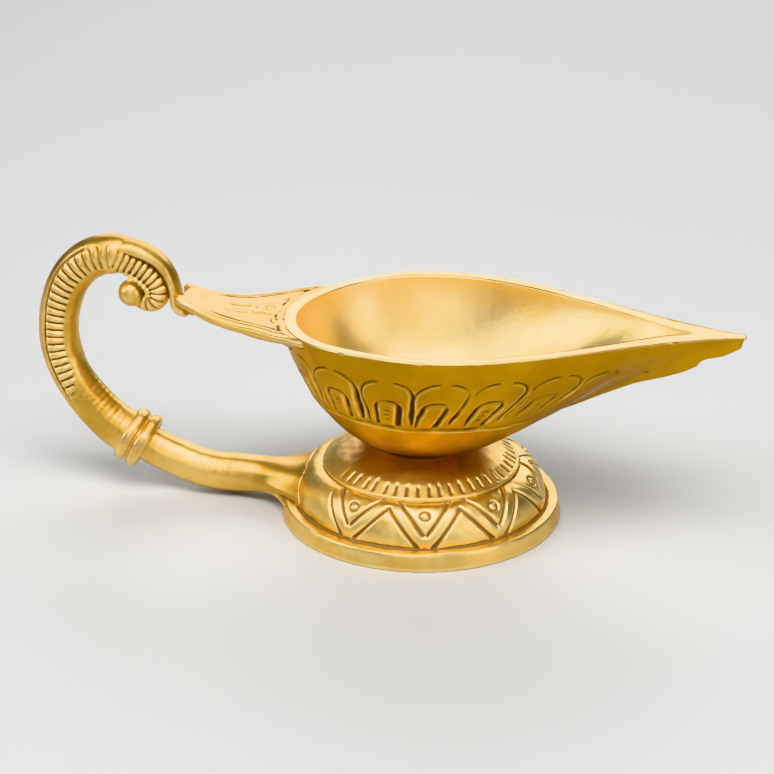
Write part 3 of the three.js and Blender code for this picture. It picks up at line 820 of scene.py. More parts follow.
def archRelief(grid, sideAlong, spread):
    size = bowlSizes
    z = grid[..., 2]
    steps = np.linalg.norm(np.diff(grid, axis=0), axis=2)
    up = np.concatenate([np.zeros((1, z.shape[1])), np.cumsum(steps, 0)])
    crownHeight = size["archHeight"] - size["crownDip"] * (1 - smoothStep(sideAlong, 10, 42))
    atCrown = np.array([np.interp(crownHeight[j], z[:, j], up[:, j]) for j in range(z.shape[1])])
    atLedge = np.array([np.interp(size["ledgeHeight"], z[:, j], up[:, j]) for j in range(z.shape[1])])
    down = atCrown - up
    ledge = atCrown - atLedge + 0.3 * handWobble(grid[0], 9, 21)
    number = np.clip(np.round((sideAlong - size["firstArch"]) / size["archPitch"]), 0, 8).astype(int)
    draw = np.random.default_rng(23).uniform(-1, 1, (6, 18))
    which = number + 9 * (grid[0, :, 1] > 0)
    lean = size["lean"] * (0.1 + 0.9 * (number < 5)) * np.clip(down - 1, 0, 13)
    off = sideAlong - size["firstArch"] - number * size["archPitch"] + 0.3 * draw[0][which] - lean
    off = off + 0.12 * handWobble(grid, 5, 24)
    reach = np.abs(off)

    # outer arch: a thin line over the top, and broad cuts down its legs
    half = size["archHalfWidth"] - 0.5 * np.clip((down - 5) / 7, 0, 1)
    shoulder = size["archShoulder"]
    curve = (reach / half) ** 2.5 + (np.clip(shoulder - down, 0, None) / shoulder) ** 2.5
    fromArch = (curve**0.4 - 1) * mix(shoulder, half * spread, np.clip(down / shoulder, 0, 1))
    legs = smoothStep(down, 1.2, 5.5)
    farLeg = off < 0
    strong = np.where(farLeg, 1.0, 0.72) + 0.22 * np.where(farLeg, draw[3][which], draw[5][which])
    legEnd = np.minimum(ledge - 1.2, mix(5.0, 13.5, smoothStep(sideAlong, 12, 55))) + 0.8 * draw[1][which]
    alive = 1 - smoothStep(down, legEnd - 1.2, legEnd)
    gap = 1 - (1 - smoothStep(reach + 0.5 * draw[2][which], 1.0, 1.9)) * (down < 2.5)
    point = 1 - 0.55 * smoothStep(down, legEnd - 4, legEnd)
    cut = groove(fromArch, mix(size["lineHalfWidth"], size["legHalfWidth"] * strong * point, legs))
    relief = -mix(size["lineDepth"], size["legDepth"] * strong, legs) * gap * alive * cut
    relief += 0.14 * (1 - legs) * gap * groove(fromArch + 0.5, 0.3)
    second = groove(fromArch - 1.15, 0.3) * smoothStep(down, 4, 5.5)
    second = second * (1 - smoothStep(down, legEnd - 2, legEnd - 1))
    relief -= 0.4 * second * farLeg * smoothStep(draw[4][which], -0.3, 0.1) * smoothStep(sideAlong, 40, 52)

    # inner arch with its small panel
    below = down - size["innerDrop"]
    innerHalf, innerShoulder = size["innerHalfWidth"], size["innerShoulder"]
    offInner = off - 0.3 * size["lean"] * np.clip(below, 0, 10)
    curve = (np.abs(offInner) / innerHalf) ** 3 + (np.clip(innerShoulder - below, 0, None) / innerShoulder) ** 3
    fromInner = (curve ** (1 / 3) - 1) * mix(innerShoulder, innerHalf * spread, np.clip(below / innerShoulder, 0, 1))
    innerEnd = np.minimum(ledge - 0.5, mix(size["innerDrop"] + 1.5, 15.0, smoothStep(sideAlong, 22, 60)))
    alive = 1 - smoothStep(down, innerEnd - 0.8, innerEnd)
    strength = smoothStep(sideAlong, 18, 48)
    thick = smoothStep(below, 0.4, 2.5) * np.where(offInner < 0, 1.0, 0.55)
    cut = groove(fromInner, mix(size["lineHalfWidth"], size["innerLegHalfWidth"], thick))
    relief -= strength * alive * mix(size["innerLineDepth"], size["legDepth"], thick) * cut
    panel = (1 - smoothStep(fromInner, -1.1, -0.4)) * smoothStep(below, 0.2, 1.0) * alive
    relief += size["panelLift"] * panel * strength
    for row in size["markRows"]:
        mark = below - row - 0.5 * np.abs(offInner)
        near = (1 - smoothStep(np.abs(offInner), 0.6, 1.0)) * (draw[4][which] > -0.6)
        relief -= size["markDepth"] * near * groove(mark, 0.26) * strength

    # the arcade's ground sinks towards a ledge
    onSide = smoothStep(sideAlong, 36, 50)
    ground = smoothStep(down, 3, 12) * (1 - smoothStep(down, ledge - 0.15, ledge + 0.15))
    relief -= size["ledgeStep"] * ground * onSide * (1 - 0.25 * panel)
    relief += 0.12 * onSide * groove(down - ledge - 0.35, 0.4)
    worn = 0.5 + 0.5 * smoothStep(handWobble(grid, 11, 25), -1.2, 0.2)
    return relief * worn


def innerMatch(outer, inner, alongInner):  # where on the inner outline each point of the outer one looks, squarely
    tangent = np.gradient(outer, axis=0)
    gaps = np.einsum("ijk,ik->ij", inner[None] - outer[:, None], tangent)
    first = np.argmax(gaps > 0, axis=1)
    found = np.where(gaps.max(1) > 0, alongInner[first], alongInner[-1])
    found = np.where(outer[:, 0] > inner[0, 0], 0, found)
    share = np.arange(len(outer)) / (len(outer) - 1)
    found = np.maximum(found, 0.10 * share * alongInner[-1])
    found[-1] = alongInner[-1]
    for _ in range(60):
        found[1:-1] = (found[:-2] + 2 * found[1:-1] + found[2:]) / 4
    return np.maximum.accumulate(found)


def makeBowlShell():
    size = bowlSizes
    columns = size["columns"]
    half, halfLength = rimSide(columns // 2 + 1)
    outline = mirrored(half)
    along = np.arange(columns) * 2 * halfLength / columns
    sideAlong = np.minimum(along, 2 * halfLength - along)
    cupFine, cupLength = cupSide(rimSide(3000)[0])
    cupReach = cupFine[0, 0]
    alongCup = np.linspace(0, cupLength, 1500)
    match = innerMatch(half, cupFine, alongCup)
    cupHalf = np.stack([np.interp(match, alongCup, cupFine[:, k]) for k in (0, 1)], 1)
    cupOutline = mirrored(cupHalf)

    lowShares = np.linspace(0, 0.45, 16)[1:]
    archShares = np.linspace(0.46, 0.87, 62)
    topShares = np.linspace(0.88, 0.985, 9)
    whole = bowlSkin(
        outline, spoutReach, size["rear"], size["baseRadius"],
        bowlBase, size["belly"], size["keel"], np.concatenate([lowShares, archShares, topShares]),
    )
    normal = outwardNormals(whole, 30, columns // 4, (0, 1, -0.5))
    step = np.linalg.norm(np.roll(whole, -1, 1) - whole, axis=2)
    spread = step / (2 * halfLength / columns)
    arches = slice(len(lowShares), len(lowShares) + len(archShares))
    relief = np.zeros(whole.shape[:2])
    fade = smoothStep(archShares, 0.46, 0.48) * (1 - smoothStep(archShares, 0.855, 0.87))
    relief[arches] = archRelief(whole[arches], sideAlong, spread[arches]) * fade[:, None]
    hollow = softened(relief, 16) - relief
    uneven = 0.12 * handWobble(whole, 22, 31) + 0.05 * handWobble(whole, 7, 32)
    belowRim = rimTop(whole[..., 0]) - whole[..., 2]
    uneven *= smoothStep(whole[..., 2], bowlBase, bowlBase + 3) * smoothStep(belowRim, 0, 5)
    keep = smoothStep(spoutReach - whole[..., 0], 0.5, 4)
    whole = whole + normal * ((relief + uneven) * keep)[..., None]
    whole[..., 2] -= keelDrop(whole)

    # the rim: outer bevel, flat land, rounded inner edge
    draw = np.random.default_rng(33)
    nick = np.zeros(columns)
    for _ in range(size["nicks"]):
        centre, width, deep = draw.uniform(0, 2 * halfLength), draw.uniform(0.4, 1.3), draw.uniform(0.12, 0.38)
        nick = np.maximum(nick, deep * groove(along - centre, width))
    wave = 0.10 * handWobble(np.c_[outline, 0 * along], 9, 34)

    def landRing(distance, drop, fromInside=False):
        reach = np.linalg.norm(cupOutline - outline, axis=1)
        share = 1 - distance / reach if fromInside else distance / reach
        ring = mix(outline, cupOutline, share[:, None])
        fall = drop + (nick * (1 - distance / 1.3) if not fromInside and distance < 1.3 else 0)
        return np.c_[ring, rimTop(ring[:, 0]) - fall - np.abs(wave) * 0.6]

    land = [landRing(d, drop) for d, drop in ((0.0, 0.55), (0.05, 0.3), (0.2, 0.13), (0.45, 0.05), (0.8, 0.03))]
    land += [landRing(1.15, 0.10), landRing(1.4, 0.12)]
    land += [landRing(d, drop, True) for d, drop in ((1.0, 0.1), (0.55, 0.14), (0.25, 0.24), (0.06, 0.5))]
    cupShares = np.concatenate([np.linspace(0.04, 0.9, 30), np.linspace(0.92, 0.985, 5)])[::-1]
    floorHeight = rimHeight - size["cupDepth"]
    cup = bowlSkin(
        cupOutline[::4], cupReach, size["rear"] - size["wall"], size["cupFloorRadius"],
        floorHeight, size["belly"], size["channel"], cupShares,
    )
    cupUneven = 0.06 * handWobble(cup, 16, 35) * smoothStep(1 - cupShares, 0.02, 0.2)[:, None]
    cup = cup + gridNormals(cup) * cupUneven[..., None]
    ringAngle = np.arctan2(cup[-1][:, 1], cup[-1][:, 0])
    rises = [(r, floorHeight + 0.12 * (r / size["cupFloorRadius"]) ** 4) for r in (8.6, 7, 5, 3, 1.2)]
    floor = [hoop(radius, height, ringAngle) for radius, height in rises]

    low = list(whole[: len(lowShares), ::4])
    angle = np.arctan2(low[0][:, 1], low[0][:, 0])
    hole, stub, stubEnd = size["boltHole"], size["spigotRadius"], bowlBase - size["spigotLength"]
    underside = [(hole, bowlBase + size["boltHoleDepth"]), (hole, stubEnd)]
    underside += [(stub - 0.4, stubEnd), (stub, stubEnd + 0.4), (stub, bowlBase)]
    underside += [(9.5, bowlBase), (size["baseRadius"], bowlBase + 0.05)]
    spigot = [hoop(radius, height, angle) for radius, height in underside]
    top = whole[len(lowShares) + len(archShares) :, ::2]
    rings = spigot + low + list(whole[arches]) + list(top) + [r[::2] for r in land] + list(cup) + floor
    points, faces = ringSkin(rings)
    shell = makeObject("oil_bowl_shell", points, faces)
    # the points follow the rings' order: underside, arches, top, then the land, the cup and its floor
    first = sum(len(r) for r in spigot + low)
    before = first + columns * len(archShares) + len(top) * columns // 2
    # painted light: the rim's land, the cup and its floor take the paler copy of the brass
    polishAndLight = np.zeros(len(points))
    polishAndLight[before:-2] = 1
    polishAndLight[-1] = 1
    storeValue(shell.data, "polishAndLight", polishAndLight)
    sunk = np.zeros(len(points))
    sunk[first : first + hollow[arches].size] = hollow[arches].ravel()
    sunk[before : before + 3 * columns // 2] = -0.09  # the land's outer three rings and its innermost one are rubbed
    sunk[before + columns * 5 : before + columns * 11 // 2] = -0.05
    storeValue(shell.data, "hollow", sunk)
    return shell


# Tang: the flat tongue from the bowl's rear to the hook
tangSizes = {
    "rootHalfWidth": 21.0,
    "tipHalfWidth": 5.9,
    "lobe": 1.5,  # how far the tip's two corners reach past the hook's bar between them
    "thickness": 2.4,
    "rootX": -22.0,
    "rootTop": 51.25,
    "tipTop": 54.05,
    "sag": 4.6,
    "gusset": 9.0,
    "rimStep": 0.3,  # how far it lies below the bowl's rim
    "flowerX": -38.2,
    "rows": 110,
    "across": 72,
}
tangTipX = fromAxis(bowlLow.x)


def tangTopAt(x):
    size = tangSizes
    corners = [
        (size["rootX"], size["rootTop"]),
        (-36.6, size["rootTop"] + 0.35),
        (-47.3, size["rootTop"] + 0.95 - size["sag"]),
        (tangTipX, size["tipTop"]),
    ]
    line = bezier(corners, np.linspace(0, 1, 300))
    return np.interp(-x, -line[:, 0], line[:, 1])


def tangHalfWidth(x):
    size = tangSizes
    run = np.clip((x - tangTipX) / (-25.0 - tangTipX), 0, 1)
    return mix(size["tipHalfWidth"], size["rootHalfWidth"], run**1.35)


def tangRelief(x, y, edge, fromRim):  # a raised border, a line beside it and a worn flower
    along = smoothStep(x, -55, -47)
    outside = smoothStep(fromRim, 1.2, 2.0)
    relief = 0.25 * groove(edge - 1.3, 0.7) * along * outside
    relief -= 0.3 * groove(edge - 2.5, 0.4) * along * outside
    relief -= 0.26 * groove(fromRim - 1.9, 0.4) * smoothStep(edge, 2.0, 2.8)
    inside = smoothStep(edge, 2.6, 3.4)
    fromMiddle = x - tangSizes["flowerX"]
    radius, turn = np.hypot(fromMiddle, y), np.arctan2(y, fromMiddle)
    petal = 3.5 + 1.5 * np.abs(np.cos(2.5 * turn))
    flower = 0.34 * (1 - smoothStep(radius / petal, 0.72, 1.0)) * smoothStep(radius, 0.9, 1.7)
    flower += 0.34 * (1 - smoothStep(radius, 0.7, 1.1)) - 0.25 * groove(radius - 1.4, 0.3)
    relief += flower * inside
    for side in (-1, 1):
        lx, ly = x + 33.6, y - side * 9.0
        along = lx * 0.55 + side * ly * 0.83
        across = -lx * 0.83 + side * ly * 0.55
        leaf = np.hypot(along / 4.6, across / 1.8)
        relief += inside * (0.32 * (1 - smoothStep(leaf, 0.7, 1.0)) - 0.26 * groove(across, 0.3) * (leaf < 0.85))
        lx, ly = x + 46.0, y - side * 2.2
        leaf = np.hypot((lx - side * 0.25 * ly) / 3.6, ly / 1.3)
        relief += inside * 0.26 * (1 - smoothStep(leaf, 0.7, 1.0))
    return relief


def rearWall(y, rear, halfWidth):  # X of a bowl outline's rear at that Y
    widest = bowlSizes["widest"]
    return widest - (rear + widest) * np.sqrt(np.maximum(0.02, 1 - (y / halfWidth) ** 2))


def makeTang():
    size = tangSizes
    bowl = bowlSizes
    side = np.sin(np.linspace(-1, 1, size["across"]) * math.pi / 2)
    share = np.linspace(0, 1, size["rows"]) ** 0.9
    rootX = np.minimum(rearWall(side * size["rootHalfWidth"], bowl["rear"] - 1.5, bowlHalfWidth - 1.5), -23.2)
    lobes = size["lobe"] * smoothStep(np.abs(side) * size["tipHalfWidth"], 3.3, 4.0)
    endX = tangTipX - lobes + 2.6 * (1 - np.sqrt(np.maximum(0, 1 - 0.98 * np.abs(side) ** 5)))
    x = rootX[None] + (endX - rootX)[None] * share[:, None]
    y = side[None] * tangHalfWidth(x)
    edge = (1 - np.abs(side[None])) * tangHalfWidth(x)
    edge = np.minimum(edge, x - endX[None])
    fromRim = rearWall(np.clip(y, -25, 25), bowl["rear"], bowlHalfWidth) - x
    surface = np.stack([x, y, 0 * x], 2)
    y = y * (1 + 0.008 * handWobble(surface, 9, 41))
    lumps = 0.07 * handWobble(surface, 10, 42) + 0.03 * handWobble(surface, 4, 43)
    relief = tangRelief(x, y, edge, fromRim)
    top = tangTopAt(x) + relief + lumps * smoothStep(fromRim, 0, 2)
    top -= size["rimStep"] * (1 - smoothStep(fromRim, 0.2, 2.2))
    top -= 0.6 * (1 - smoothStep(edge, 0.0, 0.9)) ** 1.5
    bottom = tangTopAt(x) - size["thickness"] + 0.06 * handWobble(surface, 9, 44)
    toBowl = smoothStep(x, -46.0, -30.5)
    bottom -= size["gusset"] * toBowl**1.6 * np.exp(-((y / 9.0) ** 2))
    bottom += 0.5 * (1 - smoothStep(edge, 0.0, 0.7))
    tuck = 0.3 * (top - bottom - size["thickness"]) * (1 - share[:, None]) ** 6
    hollow = -np.minimum(relief, 0) - 0.25 * np.maximum(relief, 0)
    hollow -= 0.1 * (1 - smoothStep(edge, 0.3, 0.9))
    rings, sunk = [], []
    for k in range(size["rows"]):
        over = np.stack([x[k], y[k], top[k]], 1)
        under = np.stack([x[k] + tuck[k], y[k], bottom[k]], 1)[::-1]
        swell = 0.18
        sideA = [(x[k, -1], y[k, -1] + swell, mix(top[k, -1], bottom[k, -1], s)) for s in (0.2, 0.5, 0.8)]
        sideB = [(x[k, 0], y[k, 0] - swell, mix(bottom[k, 0], top[k, 0], s)) for s in (0.2, 0.5, 0.8)]
        rings.append(np.concatenate([over, sideA, under, sideB]))
        sunk += list(hollow[k]) + [-0.05] * 3 + [0.02] * size["across"] + [-0.05] * 3
    points, faces = ringSkin(rings, fans=False)
    wide, count = size["across"], len(rings[0])
    for start in (0, len(points) - count):  # each end is closed by strips from the upper face to the lower one
        below = start + 2 * wide + 2
        faces += [[start + i, start + i + 1, below - i - 1, below - i] for i in range(wide - 1)]
        faces.append([start + wide + i for i in range(-1, 4)])
        faces.append([start] + [start + 2 * wide + i for i in (5, 4, 3, 2)])
    tang = makeObject("tang", points, faces)
    storeValue(tang.data, "hollow", np.array(sunk))
    # painted light: the tang takes half of the paler copy
    storeValue(tang.data, "polishAndLight", np.full(len(points), 0.5))
    return tang


def makeBowl():
    shell = makeBowlShell()
    tang = makeTang()
    graph = bpy.context.evaluated_depsgraph_get()
    skins = [BVHTree.FromObject(o, graph) for o in (shell, tang)]
    unite(shell, tang)
    shell.name = "oil_bowl_with_tang"
    points, edges = meshArrays(shell.data)
    weight = np.zeros(len(points))
    reach = 1.1 * mm
    behind = np.where(points[:, 0] < axisX - 19 * mm)[0]
    for i in behind:
        far = 0
        for skin in skins:
            hit = skin.find_nearest(points[i].tolist(), reach)
            if hit[0] is None:
                far = 1
                break
            far = max(far, hit[3] / reach)
        weight[i] = 1 - far
    relax(shell, 10, 0.5, smoothStep(weight, 0, 0.8))
    return shell


# painted shade: the outside's dark colours; the paler copy inside is painted light
bowlLook = dict(
    brassLook,
    light=(0.62, 0.34, 0.020), deep=(0.48, 0.24, 0.010), tarnish=(0.32, 0.14, 0.01), rubbed=(1.0, 0.74, 0.28),
    depth=0.24, dirtAmount=0.97, rubAmount=0.6,
)
# painted shade: the outside darkens towards its base, which faces down
bowlLook["heightTint"] = (bowlSizes["ledgeHeight"], bowlBase + 1.0, (0.36, 0.15, 0.02), 0.8)
# the paler copy of the same brass, painted light on the cup, rim and tang
bowlInside = {
    "light": (1.0, 0.80, 0.42),
    "deep": (0.98, 0.70, 0.26),
    "tarnish": (0.88, 0.58, 0.2),
    "cloudScale": 40.0,
    "tarnishAmount": 0.15,
    "smoother": 0.02,
}
bowlBrass = makeMetal("bowlBrass", bowlLook, bowlInside)
finish(makeBowl(), bowlBrass, "bowl_brass", "oil_bowl")


# Handle
handleSizes = {
    "barRadius": 4.9,
    "armHeight": 5.4,
    "flareHalfWidth": 10.5,  # on the dome
    "flareLowHalfWidth": 16.5,  # on the foot's ring
    "flareHigh": 12.6,
    "flareLow": 0.9,
    "flareStart": -48.5,  # where the round bar begins to spread
    "jointInset": 24.5,
    "jointRise": 7.6,
    "jointTilt": 27.0,
    "seatGap": 0.3,
    "loopRootRadius": 5.8,
    "loopRadius": 5.0,
    "crownOverTip": 9.5,
    "crownBehindTip": 16.9,
    "collarRadius": 7.4,
    "collarWidth": 6.8,
    "spineHalfAngle": 64,  # of the smooth outer band on the loop, in degrees from its outermost line
    "spineAtCrown": 48,
    "bandFrom": (12, 19),  # distances from the collar over which the band's cut edges and the ribs come in
    "ribsFrom": (15, 21),
    "bandDepth": 0.5,
    "bandCutHalfWidth": 0.34,
    "ribPitch": 1.95,
    "ribDepth": 0.62,
    "ropePitch": 1.5,
    "ripplePitch": 1.7,  # faint cross marks on the plain parts of the bar
    "ribEnd": 128,  # degrees from the outermost line at which the ribs end
    "spineRadius": 2.1,
    "spineHalfWidth": 3.2,
    "hookRadius": 2.4,
    "strandRadius": 1.4,
    "curlRadius": 2.8,
    "ballRadius": 3.4,
    "beads": 8,  # small ones along the curl, on each face
    "beadRadius": 0.7,
    "voxel": 0.22,
}
loopBack = fromAxis(scrollLow.x)
tipMiddle = np.array([tangTipX, tangSizes["tipTop"] - tangSizes["thickness"] / 2])
jointAt = np.array([loopBack + handleSizes["jointInset"], handleSizes["armHeight"] + handleSizes["jointRise"]])
jointTilt = math.radians(handleSizes["jointTilt"])
jointWay = np.array([-math.cos(jointTilt), math.sin(jointTilt)])
crownAt = tipMiddle + np.array([-handleSizes["crownBehindTip"], handleSizes["crownOverTip"]])


def alongJoint(distance):
    return jointAt + jointWay * distance


def bar(line, sides, sizeAt):
    # rings of a bar along a line in the XZ plane; sizeAt(distance, share, angle) gives half width and half thickness
    distance = distances(line)
    way = np.gradient(line, axis=0)
    way /= np.linalg.norm(way, axis=1, keepdims=True)
    angle = np.arange(sides) * 2 * math.pi / sides
    rings = []
    for k, (x, z) in enumerate(line):
        wide, thick = sizeAt(distance[k], distance[k] / distance[-1], angle)
        across, up = np.sin(angle) * wide, np.cos(angle) * thick
        rings.append(np.stack([x - way[k, 1] * up, across, z + way[k, 0] * up], 1))
    return rings


def makeArm():
    size = handleSizes
    shoulder = alongJoint(-size["collarWidth"] / 2 + 1.0)
    start = size["flareStart"]
    run = shoulder[0] - start
    corners = [(start, size["armHeight"]), (start + 0.45 * run, size["armHeight"])]
    corners += [shoulder + jointWay * 0.3 * run, shoulder]
    line, length = evenly(bezier(corners, np.linspace(0, 1, 200)), 110)
    radius = size["barRadius"]

    def section(distance, share, angle):
        facets = 0.05 * np.cos(7 * angle + 0.4) + 0.04 * np.cos(3 * angle + distance / 7)
        where = np.stack([distance + 0 * angle, radius * np.cos(angle), radius * np.sin(angle)], 1)
        lump = 0.08 * handWobble(where, 13, 51) + 0.02 * handWobble(where, 3.2, 52)
        lump += 0.025 * math.cos(2 * math.pi * distance / size["ripplePitch"])
        taper = 0.25 * smoothStep(share, 0.0, 0.6)
        return radius - taper + facets + lump, radius - taper * 0.6 + facets + lump

    rings = bar(line, 112, section)[::-1]
    rings = [np.c_[r[:, :2], np.maximum(r[:, 2], 0.55)] for r in rings]
    # the flare: each side of the bar runs on in a curve onto the dome
    first = rings[-1]
    angle = np.arange(112) * 2 * math.pi / 112
    lobe = 1 + 0.04 * np.cos(3 * angle + 0.6) + 0.02 * np.cos(5 * angle)
    middle, tall = (size["flareHigh"] + size["flareLow"]) / 2, (size["flareHigh"] - size["flareLow"]) / 2
    height = middle - np.cos(angle) * tall
    spreading = mix(size["flareLowHalfWidth"], size["flareHalfWidth"], smoothStep(height, 3.5, 9))
    aside = np.sin(angle) * spreading * lobe

    def domeRadiusAt(z):
        share = np.clip((z - footSizes["ringHeight"]) / footSizes["domeRise"], 0, 1)
        dome = tierRadius + footSizes["domeWidth"] * np.sqrt(1 - share**2)
        edge = footRadius - footSizes["ringTaper"] * z / footSizes["ringHeight"]
        return np.where(z < footSizes["ringHeight"], mix(edge, dome, smoothStep(z, 3.0, 4.4)), dome)

    def onFoot(share):  # the landing's outline drawn in by that share, lying on the foot
        y, z = aside * share, mix(size["armHeight"], height, share)
        return np.stack([-np.sqrt((domeRadiusAt(z) + 0.03) ** 2 - y**2), y, z], 1)

    landing = onFoot(1.0)
    centre = np.array([landing[:, 0].min() - 1.0, 0, size["armHeight"] + 0.4])
    inward = (centre - landing) * np.array([0.5, 0.55, 0.55]) - np.array([3.0, 0, 0])
    handles = [landing, landing + inward, first + np.array([6.5, 0, 0]), first]
    for share in np.linspace(1, 0, 56)[1:]:
        ring = bezier(handles, share)
        lump = 0.10 * handWobble(ring, 9, 53) * 4 * share * (1 - share)
        outward = ring - np.array([ring[:, 0].mean(), 0, size["armHeight"]])
        outward[:, 0] = 0
        outward /= np.maximum(np.linalg.norm(outward, axis=1, keepdims=True), 1e-6)
        ring = ring + outward * lump[:, None]
        ring[:, 2] = np.maximum(ring[:, 2], 0.55)
        rings.append(ring)
    rings += [onFoot(share) for share in (0.9, 0.75, 0.6, 0.45, 0.3, 0.15)]
    points, faces = ringSkin(rings)
    arm = makeObject("lower_arm", points, faces)
    fuse(arm, 0.24)
    relax(arm, 3, 0.5)
    storeWearAndShade(arm)
    return arm


def makeCollar():
    size = handleSizes
    bead = size["collarWidth"] / 4
    core = size["collarRadius"] - bead
    profile = [(core - 2.6, -size["collarWidth"] / 2 + 0.25)]
    for middle in (-bead, bead):
        for angle in np.linspace(-math.pi / 2, math.pi / 2, 26):
            full = max(math.cos(angle), 0) ** 0.7 if middle * angle > 0 else max(math.cos(angle), 0.5) ** 0.8
            profile.append((core + bead * full, middle + bead * 0.985 * math.sin(angle)))
    profile.append((core - 2.6, size["collarWidth"] / 2 - 0.25))
    turn = np.arange(180) * 2 * math.pi / 180
    rings = []
    for radius, distance in profile:
        ring = np.stack([0 * turn + distance, radius * np.cos(turn), radius * np.sin(turn)], 1)
        lump = 0.12 * handWobble(ring, 8, 61) + 0.03 * handWobble(ring, 3, 62) - 0.05
        ring[:, 1:] *= (1 + np.minimum(lump, 0.05) / radius)[:, None]
        ring[:, 0] += 0.10 * handWobble(ring, 8, 63) + 0.06 * ring[:, 2]
        x = jointAt[0] + jointWay[0] * ring[:, 0] - jointWay[1] * ring[:, 2]
        z = jointAt[1] + jointWay[1] * ring[:, 0] + jointWay[0] * ring[:, 2]
        rings.append(np.stack([x, ring[:, 1], z], 1))
    points, faces = ringSkin(rings)
    collar = makeObject("double_bead_collar", points, faces)
    storeWearAndShade(collar)
    return collar


def makeScroll():
    size = handleSizes
    share = np.linspace(0, 1, 200)

    # places round the hook, the curl and its ball
    spineTop = crownAt[1] + size["loopRadius"] - size["spineRadius"]
    hookX = tangTipX - 2.5 * size["seatGap"] - size["strandRadius"] + size["hookRadius"]
    hookEnd = 1.66 * math.pi
    hookEndX = hookX + size["hookRadius"] * math.cos(hookEnd) + size["strandRadius"] / 2
    hookEndHeight = tangTopAt(hookEndX) - tangSizes["thickness"] - size["seatGap"] - size["strandRadius"]
    hookZ = float(hookEndHeight) - size["hookRadius"] * math.sin(hookEnd)
    hookSide = hookX - size["hookRadius"]
    curlSide = hookSide - size["spineRadius"] - size["curlRadius"] + 0.4
    curlLow = hookZ - size["hookRadius"] + size["curlRadius"] / 2
    ballAt = np.array([curlSide - 2.05 * size["ballRadius"], curlLow + 2.3])

    # the trunk: up from the collar, round the loop, over the crown and into the curl, tapering
    shoulder = alongJoint(size["collarWidth"] / 2 - 1.0)
    start = alongJoint(size["collarWidth"] / 2 + size["seatGap"])
    back = loopBack + size["loopRadius"]
    middle = mix(start[1], crownAt[1], 0.53)
    lower = [start, alongJoint(size["collarWidth"] / 2 + size["seatGap"] + 7)]
    lower += [(back, mix(start[1], middle, 0.56)), (back, middle)]
    upper = [(back, middle), (back, mix(middle, crownAt[1], 0.55))]
    upper += [(mix(back, crownAt[0], 0.38), crownAt[1]), crownAt]
    loop = np.concatenate([[shoulder], bezier(lower, share), bezier(upper, share)[1:]])
    turned = (curlSide, mix(curlLow, crownAt[1] - 2, 0.38))
    down = [crownAt, crownAt + np.array([3.2, -1.0]), (curlSide - 0.2, crownAt[1] - 5.4), turned]
    around = [turned, (curlSide, curlLow - 0.4), (mix(ballAt[0], curlSide, 0.5), curlLow - 0.8), ballAt]
    path = np.concatenate([loop, bezier(down, share)[1:], bezier(around, share)[1:]])
    line, length = evenly(path, 520)
    loopLength = evenly(loop, 2)[1]

    def trunkSection(distance, along, angle):
        past = distance - loopLength
        radius = mix(size["loopRootRadius"], size["loopRadius"], min(1, 3 * distance / loopLength))
        radius = mix(radius, size["curlRadius"] + 0.25, float(smoothStep(past, -1.5, 8.5)))
        radius = mix(radius, 0.8 * size["curlRadius"], float(smoothStep(past, 14, 22)))
        degrees = np.abs((np.degrees(angle) + 180) % 360 - 180)
        spine = mix(size["spineHalfAngle"], size["spineAtCrown"], float(smoothStep(distance, 34, 52)))
        onLoop = 1 - float(smoothStep(past, -2, 1))
        banded = float(smoothStep(distance, *size["bandFrom"])) * onLoop
        endGap = 1 - float(smoothStep(distance, loopLength - 7, loopLength - 5))
        arc = (degrees - spine) * math.radians(1) * radius
        relief = -size["bandDepth"] * banded * endGap * groove(arc, size["bandCutHalfWidth"])
        relief += 0.08 * banded * (1 - smoothStep(arc, -0.8, 0))
        ribs = float(smoothStep(distance, *size["ribsFrom"])) * (1 - 0.35 * float(smoothStep(past, -12, -5)))
        ribs = mix(ribs, 1.0, float(smoothStep(past, 1, 5))) * (1 - float(smoothStep(past, 19, 22)))
        insideEdge = mix(mix(100, size["ribEnd"], float(smoothStep(distance, 16, 24))), 172, 1 - onLoop)
        firstEdge = mix(spine + 5, 30, 1 - onLoop)
        span = smoothStep(degrees, firstEdge - 2, firstEdge + 5)
        span = span * (1 - smoothStep(degrees, insideEdge - 10, insideEdge))
        slant = 0.25 * np.sin(angle) * (1 - onLoop)
        turns = min(distance, loopLength) / size["ribPitch"] + max(past, 0) / size["ropePitch"]
        wave = 0.5 + 0.5 * np.cos(2 * math.pi * (turns + slant))
        relief += ribs * span * (0.10 - size["ribDepth"] * wave**2.2)
        where = np.stack([distance + 0 * angle, radius * np.cos(angle), radius * np.sin(angle)], 1)
        relief += (0.10 * handWobble(where, 12, 71) + 0.03 * handWobble(where, 3.4, 72)) * onLoop
        plain = 1 - float(smoothStep(distance, 14, 26))
        relief += plain * (0.08 * np.cos(6 * angle) + 0.03 * math.cos(2 * math.pi * distance / size["ripplePitch"]))
        relief = np.where(degrees < 60, np.minimum(relief, 0.02), relief)
        return radius + relief, radius + relief

    parts = [ringSkin(bar(line, 150, trunkSection))]

    # the smooth outer band leaves the trunk at the crown and runs down into the hook under the tang's tip
    over = [(crownAt[0] - 7, spineTop - 1.35), (mix(crownAt[0], hookSide, 0.5), spineTop + 1.2)]
    over += [(hookSide, mix(hookZ, spineTop, 0.72)), (hookSide, hookZ)]
    turn = np.linspace(math.pi, hookEnd, 60)
    bend = np.stack([hookX + size["hookRadius"] * np.cos(turn), hookZ + size["hookRadius"] * np.sin(turn)], 1)
    path = np.concatenate([bezier(over, share), bend[1:]])
    line, spineLength = evenly(path, 190)

